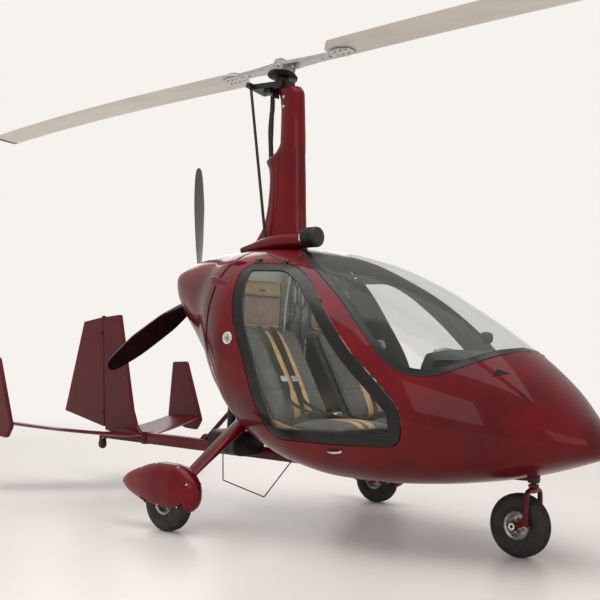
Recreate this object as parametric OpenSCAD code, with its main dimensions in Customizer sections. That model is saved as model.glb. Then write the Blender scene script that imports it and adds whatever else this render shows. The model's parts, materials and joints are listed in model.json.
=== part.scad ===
// Two-seat enclosed gyrocopter with a pusher propeller, a two-blade rotor and tricycle gear.
// The nose points along -Y, the craft's left is +X and +Z is up. The origin is on the floor
// straight below the rotor's teeter point.

/* [Cabin] */
// Width of the cabin at its widest
cabin_w = 1400; // [1200:10:1600]
// Thickness of the moulded shell
wall = 18; // [12:1:26]
// Thickness of the windscreen and of the door windows
glass_t = 5; // [3:1:8]
// Width of the dark frame round each door window
door_frame_w = 62; // [40:1:90]
// Gap between a door and the shell all round
door_gap = 6; // [5:1:10]
// Thickness of the frame round a door window
door_frame_t = 8; // [6:1:12]
// Free width between a seat and the widest cabin side
seat_side_room = 140; // [130:5:200]
// Free width between the two seats
seat_between = 180; // [160:5:240]

/* [Rotor] */
// Rotor tip radius
rotor_r = 4200; // [3500:50:4600]
// Rotor blade chord
rotor_chord = 220; // [180:5:240]
// Height of the teeter point above the floor
hub_z = 2750; // [2700:10:3000]
// Lean of the rotor head towards the left side, in degrees
head_roll = 8; // [0:0.5:9]
// Lean of the rotor head towards the nose, in degrees
head_pitch = 3.5; // [0:0.5:6]
// Parked turn of the blades away from the centre line, in degrees
parked_turn = 6.73; // [0:0.5:15]
// Upward cone of the blades, in degrees
blade_cone = 0.8; // [0:0.1:2]
// How far each blade tip hangs below its cone line
tip_droop = 110; // [0:5:200]

/* [Propeller] */
// Propeller tip radius
prop_r = 860; // [700:10:880]
// Height of the propeller shaft
prop_z = 1315; // [1300:5:1400]
// Station of the propeller plane
prop_y = 705; // [700:5:760]
// Widest chord of a propeller blade
prop_chord = 132; // [90:2:160]
// Turn of the first blade away from straight up, in degrees
prop_turn = -3; // [-20:1:20]

/* [Landing gear] */
// Distance between the two main wheels
track = 1810; // [1650:10:2000]
// Station of the main axles
main_y = -120; // [-150:5:-40]
// Station of the nose axle
nose_y = -1720; // [-1760:5:-1680]
// Tyre diameter
tyre_d = 315; // [290:5:330]
// Tyre width
tyre_w = 100; // [80:2:110]
// Diameter of the wheel rim where the tyre seats
rim_d = 134; // [120:2:150]
// Diameter of the wheel axles
axle_d = 25; // [20:1:30]
// How far the nose axle lies behind the steering axis
trail = 70; // [40:5:90]

/* [Tail] */
// Width between the outer fins
stab_span = 1660; // [1400:20:1900]
// Width of the keel boom
boom_w = 60; // [40:2:80]
// Depth of the keel boom
boom_h = 75; // [50:1:80]
// Thickness of the fins and of the stabiliser
fin_t = 30; // [20:1:40]
// Gap along the rudder hinge
rudder_gap = 6; // [5:1:10]

/* [Hidden] */
seat_gap = 0.3;
run_gap = 0.05;
ring_points = 36;
body_red = [0.50, 0.02, 0.08];
off_white = [0.87, 0.84, 0.80];
black = [0.05, 0.05, 0.05];
silver = [0.75, 0.75, 0.76];
grey = [0.42, 0.40, 0.38];
tan = [0.85, 0.68, 0.45];
tyre_r = tyre_d / 2;
rim_r = rim_d / 2;
axle_r = axle_d / 2;
LEFT = 1;
RIGHT = -1;
seat_w = cabin_w / 2 - seat_side_room - seat_between / 2;
seat_x = (seat_w + seat_between) / 2;

// Cabin body: station, half width share, waist height, top, bottom, power above, power below.
// The half width share is of half the cabin width, so the widest station has 1.
SECTIONS = [
    [-2180, 0.029, 556, 572, 540, 2.0, 2.0],
    [-2145, 0.164, 562, 648, 516, 2.0, 2.0],
    [-2060, 0.321, 574, 742, 484, 2.0, 2.0],
    [-1940, 0.471, 588, 864, 444, 2.1, 2.1],
    [-1780, 0.614, 604, 992, 398, 2.1, 2.2],
    [-1580, 0.746, 624, 1122, 357, 2.1, 2.3],
    [-1340, 0.857, 655, 1262, 322, 2.1, 2.4],
    [-1080, 0.936, 705, 1392, 301, 2.2, 2.5],
    [-800, 0.983, 770, 1498, 296, 2.2, 2.5],
    [-500, 1.000, 845, 1564, 326, 2.3, 2.3],
    [-240, 0.985, 963, 1588, 400, 2.3, 2.1],
    [-20, 0.864, 1095, 1596, 501, 2.3, 1.9],
    [180, 0.690, 1217, 1592, 697, 2.2, 1.9],
    [360, 0.587, 1306, 1578, 899, 2.1, 1.9],
    [500, 0.503, 1362, 1552, 1054, 2.0, 2.0],
    [600, 0.420, 1400, 1520, 1154, 2.0, 2.0]];
last = len(SECTIONS) - 1;
split_y = -60;
firewall_y = -142;
firewall_t = 12;
floor_t = 12;
boom_z = 318;
boom_top = boom_z + boom_h;
boom_front = -600;
boom_end = 1210;
engine_rear = 340;
engine_w = 230;
engine_h = 250;

// Side views, as station and height.
DOOR = [[-200, 1468], [-520, 1458], [-660, 1388], [-820, 1257], [-1070, 1006], [-1290, 815],
    [-1395, 712], [-1400, 535], [-1000, 522], [-585, 518], [-520, 705], [-437, 930], [-300, 1175]];
// Edge of the body round a door, further off at the top, where the opening door swings up past it.
DOORWAY = [[-192, 1472], [-524, 1466], [-668, 1399], [-826, 1264], [-1074, 1010], [-1290, 815],
    [-1395, 712], [-1400, 535], [-1000, 522], [-585, 518], [-520, 705], [-437, 930], [-300, 1175]];
door_corner_r = 50;
SCREEN = [[-240, 1800], [-250, 1588], [-492, 1523], [-819, 1334], [-1066, 1141], [-1217, 997],
    [-1303, 931], [-1389, 890], [-1460, 880], [-1530, 890], [-1600, 918], [-1687, 976],
    [-1750, 1010], [-1752, 1800]];
screen_corner_r = 60;

// Door hinge on the left side: its rear and front ends, just above the roof along the door's top.
HINGE_REAR = [cabin_w * 43 / 140, -220, 1493];
HINGE_FRONT = [cabin_w * 81 / 280, -500, 1469];
hinge_pin_r = 5;
knuckle_r = 9;
knuckle_len = 30;

// Mast: height, front station, rear station, thickness.
MAST = [
    [1500, -245, 520, 150],
    [1640, -228, 215, 146],
    [1700, -219, 160, 140],
    [1758, -214, 122, 136],
    [1894, -205, 92, 130],
    [2026, -198, 84, 126],
    [2103, -193, 92, 124],
    [2161, -190, 120, 122],
    [2204, -187, 42, 120],
    [2268, -183, 2, 118],
    [2450, -172, 4, 108],
    [2560, -165, 20, 100],
    [2600, -140, 40, 92]];
mast_top = MAST[len(MAST) - 1][0];

function flip(s) = s < 0 ? -1 : 1;
function round_power(t, p) = flip(t) * pow(abs(t), 2 / p);
function swell(size, grow) = max(size + grow, 2);

// Outline of one body section in its own plane, grown by a distance all round.
function oval(row, grow) = [
    for (i = [0 : ring_points - 1])
        let (
            a = 360 * i / ring_points,
            p = sin(a) < 0 ? row[6] : row[5],
            w = swell(row[1] * cabin_w / 2, grow),
            h = swell(sin(a) < 0 ? row[2] - row[4] : row[3] - row[2], grow))
        [w * round_power(cos(a), p), row[2] + h * round_power(sin(a), p)]];

module slab(row, grow, shift = 0) {
    translate([0, row[0] + shift, 0]) rotate([90, 0, 0])
        linear_extrude(1, center = true) polygon(oval(row, grow));
}

// The whole cabin body as one solid, grown or shrunk by a distance.
module pod(grow) {
    for (i = [0 : last - 1]) hull() {
        slab(SECTIONS[i], grow, i == 0 ? -grow : 0);
        slab(SECTIONS[i + 1], grow, i + 1 == last ? grow : 0);
    }
}

// A side-view outline pushed sideways through one or both sides of the body.
module side_cut(outline, corner_r, grow, side = 0) {
    reach = cabin_w;
    start = side == 0 ? -reach : (side > 0 ? 0 : -reach);
    translate([start, 0, 0]) rotate([90, 0, 90])
        linear_extrude(side == 0 ? 2 * reach : reach)
            offset(r = grow + corner_r) offset(r = -corner_r) polygon(outline);
}

// A round bar along the left door's hinge line, between two distances from its rear end.
module hinge_bar(from, to, r) {
    along = (HINGE_FRONT - HINGE_REAR) / norm(HINGE_FRONT - HINGE_REAR);
    rod_between(HINGE_REAR + along * from, HINGE_REAR + along * to, r, 32);
}

function hinge_places() = [45, norm(HINGE_FRONT - HINGE_REAR) - 45];

// Both doors' roof knuckles and pins.
module roof_hinges() {
    for (side = [0, 1]) mirror([side, 0, 0]) for (place = hinge_places()) {
        hinge_bar(place - 38, place - 17, knuckle_r);
        hinge_bar(place + 17, place + 38, knuckle_r);
        hinge_bar(place - 38, place + 38, hinge_pin_r);
    }
}

// Room in the roof for the doors' own knuckles and arms.
module roof_hinge_room() {
    for (side = [0, 1]) mirror([side, 0, 0]) for (place = hinge_places()) hull() {
        hinge_bar(place - 17, place + 17, knuckle_r + door_gap);
        translate([34, 0, -30]) hinge_bar(place - 17, place + 17, knuckle_r + door_gap);
    }
}

// The left door's knuckles, each with an arm down to the top of the door.
module door_knuckles() {
    for (place = hinge_places()) difference() {
        union() {
            hinge_bar(place - knuckle_len / 2, place + knuckle_len / 2, knuckle_r);
            hull() {
                hinge_bar(place - knuckle_len / 2, place + knuckle_len / 2, 5);
                translate([26, 0, -35]) hinge_bar(place - knuckle_len / 2, place + knuckle_len / 2, 6);
            }
        }
        hinge_bar(place - 40, place + 40, hinge_pin_r + run_gap);
    }
}

module slice_y(from, to) {
    translate([-2000, from, -500]) cube([4000, to - from, 4000]);
}

module tube_x(r, h) { rotate([0, 90, 0]) cylinder(r = r, h = h, center = true, $fn = 48); }

module rod_between(a, b, r, fn = 24) {
    d = b - a;
    length = norm(d);
    translate(a) rotate([0, acos(d[2] / length), atan2(d[1], d[0])]) cylinder(r = r, h = length, $fn = fn);
}

// ---- Body ----

module boom_slot() {
    translate([-boom_w / 2 - seat_gap, boom_front - seat_gap, boom_z - seat_gap])
        cube([boom_w + 2 * seat_gap, 1800, boom_h + 2 * seat_gap]);
}

module shell_cuts() {
    boom_slot();
    gear_bow_body(seat_gap);
    translate([0, nose_y - trail, 0]) cylinder(r = leg_tube_r + seat_gap, h = 700, $fn = 48);
}

module fuselage_shell() color(body_red) {
    difference() {
        pod(0);
        pod(-wall);
        slice_y(split_y, 1000);
        side_cut(SCREEN, screen_corner_r, seat_gap);
        side_cut(DOORWAY, door_corner_r, door_gap);
        shell_cuts();
        filler_hole();
        roof_hinge_room();
    }
    roof_hinges();
}

module windscreen() color([0.8, 0.85, 0.85, 0.3]) intersection() {
    difference() {
        pod(0);
        pod(-glass_t);
    }
    side_cut(SCREEN, screen_corner_r, 0);
}

module engine_cowl() color(body_red) difference() {
    intersection() {
        pod(0);
        slice_y(split_y + seat_gap, 1000);
    }
    pod(-wall);
    shell_cuts();
    translate([0, 300, prop_z]) rotate([-90, 0, 0]) cylinder(r = 50, h = 400, $fn = 48);
}

module firewall() color(silver) difference() {
    intersection() {
        pod(-wall - seat_gap);
        slice_y(firewall_y, firewall_y + firewall_t);
    }
    boom_slot();
    gear_bow_body(seat_gap);
}

module cabin_floor() color(grey) difference() {
    intersection() {
        pod(-wall - seat_gap);
        translate([-1000, -1900, boom_top]) cube([2000, 1900 + firewall_y - seat_gap, floor_t]);
    }
    translate([0, nose_y - trail, 0]) cylinder(r = leg_tube_r + seat_gap, h = 700, $fn = 48);
}

module instrument_panel() color(black) difference() {
    intersection() {
        pod(-wall - seat_gap);
        side_cut([[-1735, 700], [-1735, 995], [-1640, 1010], [-1520, 1012], [-1430, 985],
            [-1400, 920], [-1445, 700]], 25, 0);
        cube([860, 4000, 4000], center = true);
    }
    side_cut([[-1700, 600], [-1700, 960], [-1470, 960], [-1480, 600]], 20, 0);
}

console_w = 120;
console_z = boom_top + floor_t;

module centre_console() color(grey) {
    translate([-console_w / 2, -1330, console_z]) cube([console_w, 640, 190]);
    translate([-console_w / 2, -1425, console_z]) cube([console_w, 100, 290]);
}

module control_sticks() color(black)
    for (side = [LEFT, RIGHT]) {
        foot = [side * seat_x, -1180, console_z];
        translate(foot) cylinder(r = 28, h = 30, $fn = 32);
        rod_between(foot + [0, 0, 30], foot + [0, 60, 330], 10);
        translate(foot + [0, 60, 330]) cylinder(r = 18, h = 110, $fn = 32);
    }

pedal_x = seat_x - 160;

module rudder_pedals() color(silver)
    for (x = [-1, 1] * pedal_x, foot = [-70, 70]) {
        translate([x + foot - 20, -1600, console_z]) cube([40, 90, 14]);
        translate([x + foot - 32, -1600, console_z + 14]) cube([64, 16, 130]);
    }

// ---- Seats ----

seat_front = -1010;
seat_back = -560;
seat_z = 545;
cushion_t = 75;
back_lean = 31;
back_h = 650;
seat_foot_x = seat_x - 80;
seat_foot_w = seat_w - 210;

// A rounded pad, its base corner at the origin, w wide, d long and t thick.
module pad(w, d, t, r = 22) {
    translate([-w / 2, 0, 0]) hull()
        for (x = [r, w - r], y = [r, d - r], z = [r, t - r])
            translate([x, y, z]) sphere(r = r, $fn = 20);
}

module at_seats() { for (side = [LEFT, RIGHT]) translate([side * seat_x, 0, 0]) children(); }

module at_back() { translate([0, seat_back, seat_z]) rotate([-back_lean, 0, 0]) children(); }

function back_at(y, z) = [seat_back + y * cos(back_lean) + z * sin(back_lean),
    seat_z - y * sin(back_lean) + z * cos(back_lean)];

// Pan and back in one bent plate, on two upright foot plates.
module seat_shells() color(black) for (side = [LEFT, RIGHT]) {
    for (y = [seat_front, seat_back - 18])
        translate([side * seat_foot_x - seat_foot_w / 2, y, console_z])
            cube([seat_foot_w, 18, seat_z + 4 - console_z]);
    translate([side * seat_x - seat_w / 2, 0, 0]) rotate([90, 0, 90]) linear_extrude(seat_w)
        polygon([[seat_front - 4, seat_z], back_at(26, 26 * tan(back_lean)), back_at(26, back_h),
            back_at(12, back_h), back_at(12, (10 + 12 * sin(back_lean)) / cos(back_lean)),
            [seat_front - 4, seat_z + 10]]);
}

module seat_bottom_cushions() color(grey) at_seats()
    translate([0, seat_front, seat_z + 10 + seat_gap]) pad(seat_w - 20, seat_back - seat_front - 95, cushion_t);

module seat_back_cushions() color(grey) at_seats() at_back()
    translate([0, 12 - seat_gap, 50]) rotate([90, 0, 0]) pad(seat_w - 20, back_h - 60, cushion_t);

module headrests() color(tan) at_seats()
    translate([0, firewall_y - seat_gap, 1112]) rotate([90, 0, 0]) pad(seat_w - 100, 275, 62);

// ---- Engine and exhaust ----

module engine_block() color(grey)
    translate([-engine_w / 2, firewall_y + firewall_t, prop_z - engine_h / 2])
        cube([engine_w, engine_rear - firewall_y - firewall_t, engine_h]);

module muffler() color(black) difference() {
    union() {
        translate([-310, 10, 345]) rounded_box([265, 235, 150], 22);
        for (y = [70, 150]) translate([-200, y, 470]) cylinder(r = 26, h = 300, $fn = 40);
    }
    pod(seat_gap);
    translate([-260, 0, 700]) cube([120, 240, 100]);
}

module rounded_box(size, r) {
    hull() for (x = [r, size[0] - r], y = [r, size[1] - r], z = [r, size[2] - r])
        translate([x, y, z]) sphere(r = r, $fn = 20);
}

// ---- Mast and rotor head ----

module mast_slab(row) {
    translate([0, (row[1] + row[2]) / 2, row[0]])
        linear_extrude(1, center = true)
            polygon([for (i = [0 : 27]) let (a = 360 * i / 28)
                [row[3] / 2 * round_power(sin(a), 2.3), (row[2] - row[1]) / 2 * cos(a)]]);
}

// The whole mast, grown by a distance to make room for it in what leans against it.
module mast_body(grow) {
    for (i = [0 : len(MAST) - 2]) hull() {
        mast_slab(MAST[i] + [0, -grow, grow, 2 * grow]);
        mast_slab(MAST[i + 1] + [0, -grow, grow, 2 * grow]);
    }
}

module mast() color(body_red) difference() {
    mast_body(0);
    pod(seat_gap);
    translate([-100, -300, mast_top]) cube([200, 500, 50]);
}

duct_x = -132;
duct_z = 1628;
duct_r = 48;
filter_y = -330;

module duct_body(grow) {
    hull() {
        translate([duct_x, filter_y, duct_z]) rotate([-90, 0, 0])
            cylinder(r = duct_r + grow, h = 245, $fn = 32);
        translate([duct_x + 20, 180, duct_z - 30]) sphere(r = 26 + grow, $fn = 24);
    }
}

module intake_duct() color(body_red) difference() {
    duct_body(0);
    pod(seat_gap);
    mast_body(seat_gap);
}

module air_filter() color(black)
    translate([duct_x, filter_y, duct_z + 17]) rotate([90, 0, 0]) {
        cylinder(r = 54, h = 20, $fn = 48);
        translate([0, 0, 20]) cylinder(r = 60, h = 80, $fn = 48);
        translate([0, 0, 100]) cylinder(r = 50, h = 16, $fn = 48);
    }

// Rotor head frame: its Z runs up the rotor shaft and its origin is the teeter point.
module at_head() { translate([0, 0, hub_z]) rotate([head_pitch, head_roll, 0]) children(); }

ring_low = -78;
ring_high = -44;
ring_r = 94;
bearing_r = 42;
spindle_r = 16;
shaft_y = 92;
shaft_r = 15;
arm_z = -128;

function at_head_point(p) = let (c = cos(head_pitch), s = sin(head_pitch), y = p[1] * c - p[2] * s,
    z = p[1] * s + p[2] * c) [p[0] * cos(head_roll) + z * sin(head_roll), y,
    hub_z - p[0] * sin(head_roll) + z * cos(head_roll)];

// Cross arm at the rear of the head, that the control rods hang from.
module rod_arm(grow) {
    translate([-85 - grow, 196 - grow, arm_z - 18 - grow])
        cube([170 + 2 * grow, 30 + 2 * grow, 30 + 2 * grow]);
}

module rotor_head() color(black) {
    difference() {
        at_head() union() {
            translate([0, 0, -200]) cylinder(r = bearing_r, h = 200 + ring_low - 6, $fn = 48);
            translate([-40, -45, arm_z - 18]) cube([80, 256, 36]);
            rod_arm(0);
            translate([-26, 60, arm_z - 44]) cube([52, 60, 30]);
        }
        translate([-200, -300, mast_top - 400]) cube([400, 340, 400]);
        at_head() translate([0, 0, ring_low - 80]) cylinder(r = spindle_r + run_gap, h = 100, $fn = 64);
        translate([0, shaft_y, 2400]) cylinder(r = shaft_r + seat_gap, h = 202, $fn = 48);
    }
    translate([-38, -60, mast_top]) cube([76, 40, 46]);
}

// The control rods run from the head's rear arm down to the roof.
module control_rods() color(black) difference() {
    rod_between(at_head_point([-58, 211, arm_z]), [-94, 0, 1540], 9);
    rod_between(at_head_point([75, 211, arm_z]), [94, 0, 1540], 9);
    at_head() rod_arm(seat_gap);
    pod(seat_gap);
    mast_body(seat_gap);
    duct_body(seat_gap);
}

module prerotator_shaft() difference() {
    union() {
        color(silver) rod_between([0, shaft_y, 2475], [0, shaft_y, 2601], shaft_r);
        color(black) rod_between([0, shaft_y, 2130], [0, shaft_y, 2476], shaft_r - 3);
    }
    mast_body(seat_gap);
}

// ---- Rotor ----

module rotor_hub() color(off_white) at_head() {
    translate([0, 0, ring_low]) cylinder(r = ring_r, h = ring_high - ring_low, $fn = 72);
    translate([0, 0, ring_high - 1]) cylinder(r = 34, h = -ring_high - 9, $fn = 48);
    translate([0, 0, ring_low - 70]) cylinder(r = spindle_r, h = 75, $fn = 64);
    rotate([0, 0, -parked_turn]) translate([0, 0, -12]) linear_extrude(24)
        polygon([[-48, -60], [-48, 60], [-28, blade_root], [28, blade_root], [48, 60], [48, -60],
            [28, -blade_root], [-28, -blade_root]]);
}

blade_root = 500;
blade_t = 24;
blade_steps = 7;

// Blade outline in its own plane: chord along X with the leading edge at +X, thickness along Z.
function blade_outline(chord) = [
    for (i = [0 : 15]) let (a = 360 * i / 16)
        [chord * (cos(a) / 2 - 0.23), blade_t / 2 * sin(a) * (1 + 0.55 * cos(a))]];

module blade_slab(r, inset) {
    lift = r * tan(blade_cone) - tip_droop * pow(r / rotor_r, 2.5);
    translate([0, r, lift]) rotate([90, 0, 0]) linear_extrude(1, center = true)
        polygon(blade_outline(rotor_chord - inset));
}

module rotor_blades() color(off_white) at_head()
    for (turn = [0, 180]) rotate([0, 0, turn - parked_turn]) mirror([1, 0, 0]) difference() {
        union() {
            hull() { blade_slab(blade_root - 60, 130); blade_slab(blade_root + 60, 0); }
            for (i = [0 : blade_steps - 1]) hull() {
                blade_slab(blade_root + 60 + (rotor_r - blade_root - 61) * i / blade_steps, 0);
                blade_slab(blade_root + 60 + (rotor_r - blade_root - 61) * (i + 1) / blade_steps, 0);
            }
        }
        translate([-60, 0, -12 - seat_gap]) cube([120, blade_root + seat_gap, 24 + 2 * seat_gap]);
    }

// ---- Propeller ----

prop_hub_r = 68;

module propeller_hub() color(black) {
    translate([0, prop_y - 45, prop_z]) rotate([-90, 0, 0]) cylinder(r = prop_hub_r, h = 90, $fn = 64);
    translate([0, engine_rear + seat_gap, prop_z]) rotate([-90, 0, 0])
        cylinder(r = 26, h = prop_y - 45 - engine_rear - seat_gap, $fn = 48);
    translate([0, prop_y + 45, prop_z]) rotate([-90, 0, 0]) cylinder(r = 40, h = 22, $fn = 48);
}

// Propeller blade: share of the radius, share of the widest chord, pitch angle, thickness.
PROP = [
    [0.060, 0.42, 42, 34],
    [0.160, 0.62, 38, 26],
    [0.400, 0.98, 26, 18],
    [0.650, 1.00, 18, 13],
    [0.880, 0.74, 13, 9],
    [1.000, 0.34, 11, 6]];

module prop_slab(row) {
    translate([0, 0, row[0] * prop_r - (row[0] == 1 ? 0.5 : 0)]) rotate([0, 0, row[2]])
        linear_extrude(1, center = true)
            polygon([for (i = [0 : 15]) let (a = 360 * i / 16)
                [row[1] * prop_chord * (cos(a) / 2), row[3] / 2 * sin(a)]]);
}

module propeller_blades() color(black) difference() {
    for (k = [0 : 2]) translate([0, prop_y, prop_z]) rotate([0, prop_turn + 120 * k, 0])
        for (i = [0 : len(PROP) - 2]) hull() {
            prop_slab(PROP[i]);
            prop_slab(PROP[i + 1]);
        }
    translate([0, prop_y - 100, prop_z]) rotate([-90, 0, 0])
        cylinder(r = prop_hub_r + seat_gap, h = 200, $fn = 64);
}

// ---- Boom and tail ----

module keel_boom() color(body_red)
    translate([-boom_w / 2, boom_front, boom_z]) cube([boom_w, boom_end - boom_front, boom_h]);

module boom_strut() color(body_red) difference() {
    rod_between([0, 600, boom_top - 10], [0, 150, 780], 15);
    pod(seat_gap);
    translate([-boom_w, 0, boom_z]) cube([2 * boom_w, 1000, boom_h + seat_gap]);
}

beam_h = 34;
tail_wheel_y = 1685;
tail_wheel_z = 275;
tail_wheel_r = 35;

module tail_beam() color(body_red) difference() {
    union() {
        translate([-20, boom_end, boom_z]) cube([40, 1700 - boom_end, beam_h]);
        for (x = [-20, 14]) translate([x, tail_wheel_y - 16, tail_wheel_z - 12])
            cube([6, 31, boom_z - tail_wheel_z + 12]);
        translate([-11, tail_wheel_y, tail_wheel_z]) tube_x(5, 6);
        translate([11, tail_wheel_y, tail_wheel_z]) tube_x(5, 6);
        translate([0, tail_wheel_y, tail_wheel_z]) tube_x(5, 28);
    }
    translate([0, 1500, 0]) cylinder(r = 6.5, h = 500, $fn = 48);
}

module tail_wheel() color(black) translate([0, tail_wheel_y, tail_wheel_z]) difference() {
    tube_x(tail_wheel_r, 16);
    tube_x(5 + run_gap, 30);
}

root_front = 1215;
root_rear = 1640;
tip_front = 1560;
tip_rear = 1905;
root_z = boom_z + beam_h;
tip_z = 438;

module stab_rib(x, from, to, z) {
    translate([x, from, z]) cube([1, to - from, fin_t * 0.8]);
}

module stabiliser() color(body_red) {
    for (side = [0, 1]) mirror([side, 0, 0]) {
        hull() {
            stab_rib(0, root_front, root_rear, root_z);
            stab_rib(60, root_front, root_rear, root_z);
        }
        hull() {
            stab_rib(60, root_front, root_rear, root_z);
            stab_rib(stab_span / 2 - 1 - fin_t / 2, tip_front, tip_rear, tip_z);
        }
    }
}

module outer_fins() color(body_red) for (side = [LEFT, RIGHT])
    translate([side * (stab_span / 2 + seat_gap) - fin_t / 2, 0, 0]) rotate([90, 0, 90])
        linear_extrude(fin_t)
            offset(r = 12) offset(r = -12)
                polygon([[1545, 430], [1600, 352], [1730, 358], [1938, 420], [1905, 872], [1738, 880]]);

fin_base = root_z + fin_t * 0.8;
HINGE_LOW = [0, 1663, fin_base + 24];
HINGE_HIGH = [0, 1733, 1186];
rudder_pin_r = 4;
lug_h = 22;
lug_room = 3;

// A round bar along the rudder's hinge line, between two distances from its low end.
module rudder_bar(from, to, r) {
    along = (HINGE_HIGH - HINGE_LOW) / norm(HINGE_HIGH - HINGE_LOW);
    rod_between(HINGE_LOW + along * from, HINGE_LOW + along * to, r, 48);
}

function rudder_lugs() = [90, 660];

function beside_hinge(point, gap) = [point[1] - gap, point[2]];

module upright_plate(outline) {
    translate([-fin_t / 2, 0, 0]) rotate([90, 0, 90]) linear_extrude(fin_t) polygon(outline);
}

module tail_fin() color(body_red) difference() {
    union() {
        upright_plate([[1236, fin_base], [1300, 425], [1353, 536], [1536, 1203],
            beside_hinge(HINGE_HIGH, fin_t / 2 + rudder_gap), beside_hinge(HINGE_LOW, fin_t / 2 + rudder_gap),
            [HINGE_LOW[1] - fin_t / 2 - rudder_gap - 2, fin_base]]);
        for (place = rudder_lugs()) {
            rudder_bar(place, place + lug_h, fin_t / 2 - 3);
            hull() {
                rudder_bar(place, place + lug_h, 7);
                translate([0, -fin_t, 0]) rudder_bar(place, place + lug_h, 7);
            }
        }
    }
    rudder_bar(-20, 900, rudder_pin_r + run_gap);
}

module rudder() color(body_red) {
    difference() {
        union() {
            rudder_bar(0, 799, fin_t / 2);
            upright_plate([beside_hinge(HINGE_LOW, 0), beside_hinge(HINGE_HIGH, 0), [1951, 1151], [2141, 487]]);
        }
        for (place = rudder_lugs()) hull() {
            rudder_bar(place - lug_room, place + lug_h + lug_room, fin_t / 2 + 2);
            translate([0, -fin_t, 0]) rudder_bar(place - lug_room, place + lug_h + lug_room, fin_t / 2 + 2);
        }
    }
    for (place = rudder_lugs()) rudder_bar(place - 20, place + lug_h + 20, rudder_pin_r);
}

// ---- Main gear ----

leg_root = [330, main_y, 604];
leg_foot = [838, main_y, 232];
bow_t = 50;
bow_chord = 150;

// One end of a gear leg: a thin upright slab, grown by a distance.
module leg_end(at, chord, t, grow) {
    translate(at + [0, -chord / 2 - grow, -t / 2 - grow]) cube([2, chord + 2 * grow, t + 2 * grow]);
}

module gear_bow_body(grow) {
    translate([-leg_root[0], main_y - bow_chord / 2 - grow, leg_root[2] - bow_t / 2 - grow])
        cube([2 * leg_root[0], bow_chord + 2 * grow, bow_t + 2 * grow]);
    for (side = [0, 1]) mirror([side, 0, 0]) hull() {
        leg_end(leg_root, bow_chord, bow_t, grow);
        leg_end(leg_foot, 90, 24, grow);
    }
}

axle_inner = leg_foot[0];
wheel_x = track / 2;

module main_gear_bow() color(body_red) {
    gear_bow_body(0);
    for (side = [0, 1]) mirror([side, 0, 0]) {
        translate([axle_inner + 2, main_y - 30, tyre_r - 30]) cube([10, 60, leg_foot[2] + 12 - tyre_r + 30]);
        translate([axle_inner + 12, main_y, tyre_r]) rotate([0, 90, 0])
            cylinder(r = axle_r, h = wheel_x - axle_inner + 38, $fn = 48);
        translate([wheel_x + 50, main_y, tyre_r]) rotate([0, 90, 0]) cylinder(r = 20, h = 8, $fn = 48);
    }
}

// Spat: station from the axle, half width, centre height, half height.
SPAT = [
    [-240, 14, 215, 26],
    [-215, 42, 215, 70],
    [-150, 68, 222, 112],
    [-60, 80, 228, 132],
    [40, 80, 230, 130],
    [140, 72, 232, 112],
    [240, 54, 232, 82],
    [330, 32, 230, 50],
    [385, 10, 228, 18]];

module spat_slab(row, grow) {
    translate([wheel_x, main_y + row[0], row[2]]) rotate([90, 0, 0]) linear_extrude(1, center = true)
        polygon([for (i = [0 : 23]) let (a = 15 * i)
            [swell(row[1], grow) * round_power(cos(a), 2.4), swell(row[3], grow) * round_power(sin(a), 2.2)]]);
}

module spat_body(grow) {
    for (i = [0 : len(SPAT) - 2]) hull() {
        spat_slab(SPAT[i], grow);
        spat_slab(SPAT[i + 1], grow);
    }
}

module wheel_spats() color(body_red) for (side = [0, 1]) mirror([side, 0, 0]) difference() {
    spat_body(0);
    intersection() {
        spat_body(-6);
        translate([wheel_x, main_y, tyre_r]) tube_x(tyre_r + 90, 400);
    }
    translate([wheel_x, main_y, tyre_r]) tube_x(tyre_r + 12, tyre_w + 16);
    translate([wheel_x - tyre_w / 2 - 8, main_y - tyre_r - 12, 0])
        cube([tyre_w + 16, 2 * tyre_r + 24, tyre_r]);
    translate([axle_inner - 80, main_y - 46, tyre_r - 31])
        cube([92 + seat_gap, 92, leg_foot[2] + 80 - tyre_r]);
    translate([axle_inner + 11, main_y, tyre_r]) rotate([0, 90, 0]) cylinder(r = axle_r + seat_gap, h = 300, $fn = 48);
    translate([wheel_x + 50, main_y, tyre_r]) rotate([0, 90, 0]) cylinder(r = 20 + seat_gap, h = 60, $fn = 48);
}

module tyre() {
    half = tyre_w / 2;
    rotate([0, 90, 0]) rotate_extrude($fn = 96) difference() {
        hull() {
            translate([tyre_r - half * 0.9, 0]) scale([0.9, 1]) circle(r = half, $fn = 48);
            translate([rim_r + seat_gap, -half * 0.72]) square([10, half * 1.44]);
        }
        translate([0, -half]) square([rim_r + seat_gap, tyre_w]);
        translate([rim_r + 20, -half + 14]) square([tyre_r - rim_r - 34, tyre_w - 28]);
    }
}

module rim() {
    rotate([0, 90, 0]) rotate_extrude($fn = 96)
        polygon([[axle_r + run_gap, -34], [30, -34], [30, -12], [rim_r - 8, -12], [rim_r - 8, -36], [rim_r, -36],
            [rim_r, 36], [rim_r - 8, 36], [rim_r - 8, 12], [30, 12], [30, 34], [axle_r + run_gap, 34]]);
}

module at_main(side) { translate([side * wheel_x, main_y, tyre_r]) children(); }

module main_rim_left() color(silver) at_main(LEFT) rim();
module main_tyre_left() color(black) at_main(LEFT) tyre();
module main_rim_right() color(silver) at_main(RIGHT) rim();
module main_tyre_right() color(black) at_main(RIGHT) tyre();

// ---- Nose gear ----

leg_tube_r = 30;
stem_r = 16;
steer_y = nose_y - trail;
fork_x = 66;
crown_z = 335;

module nose_leg_tube() color(black) translate([0, steer_y, 372]) difference() {
    cylinder(r = leg_tube_r, h = 170, $fn = 64);
    translate([0, 0, -1]) cylinder(r = stem_r + run_gap, h = 180, $fn = 64);
}

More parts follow.
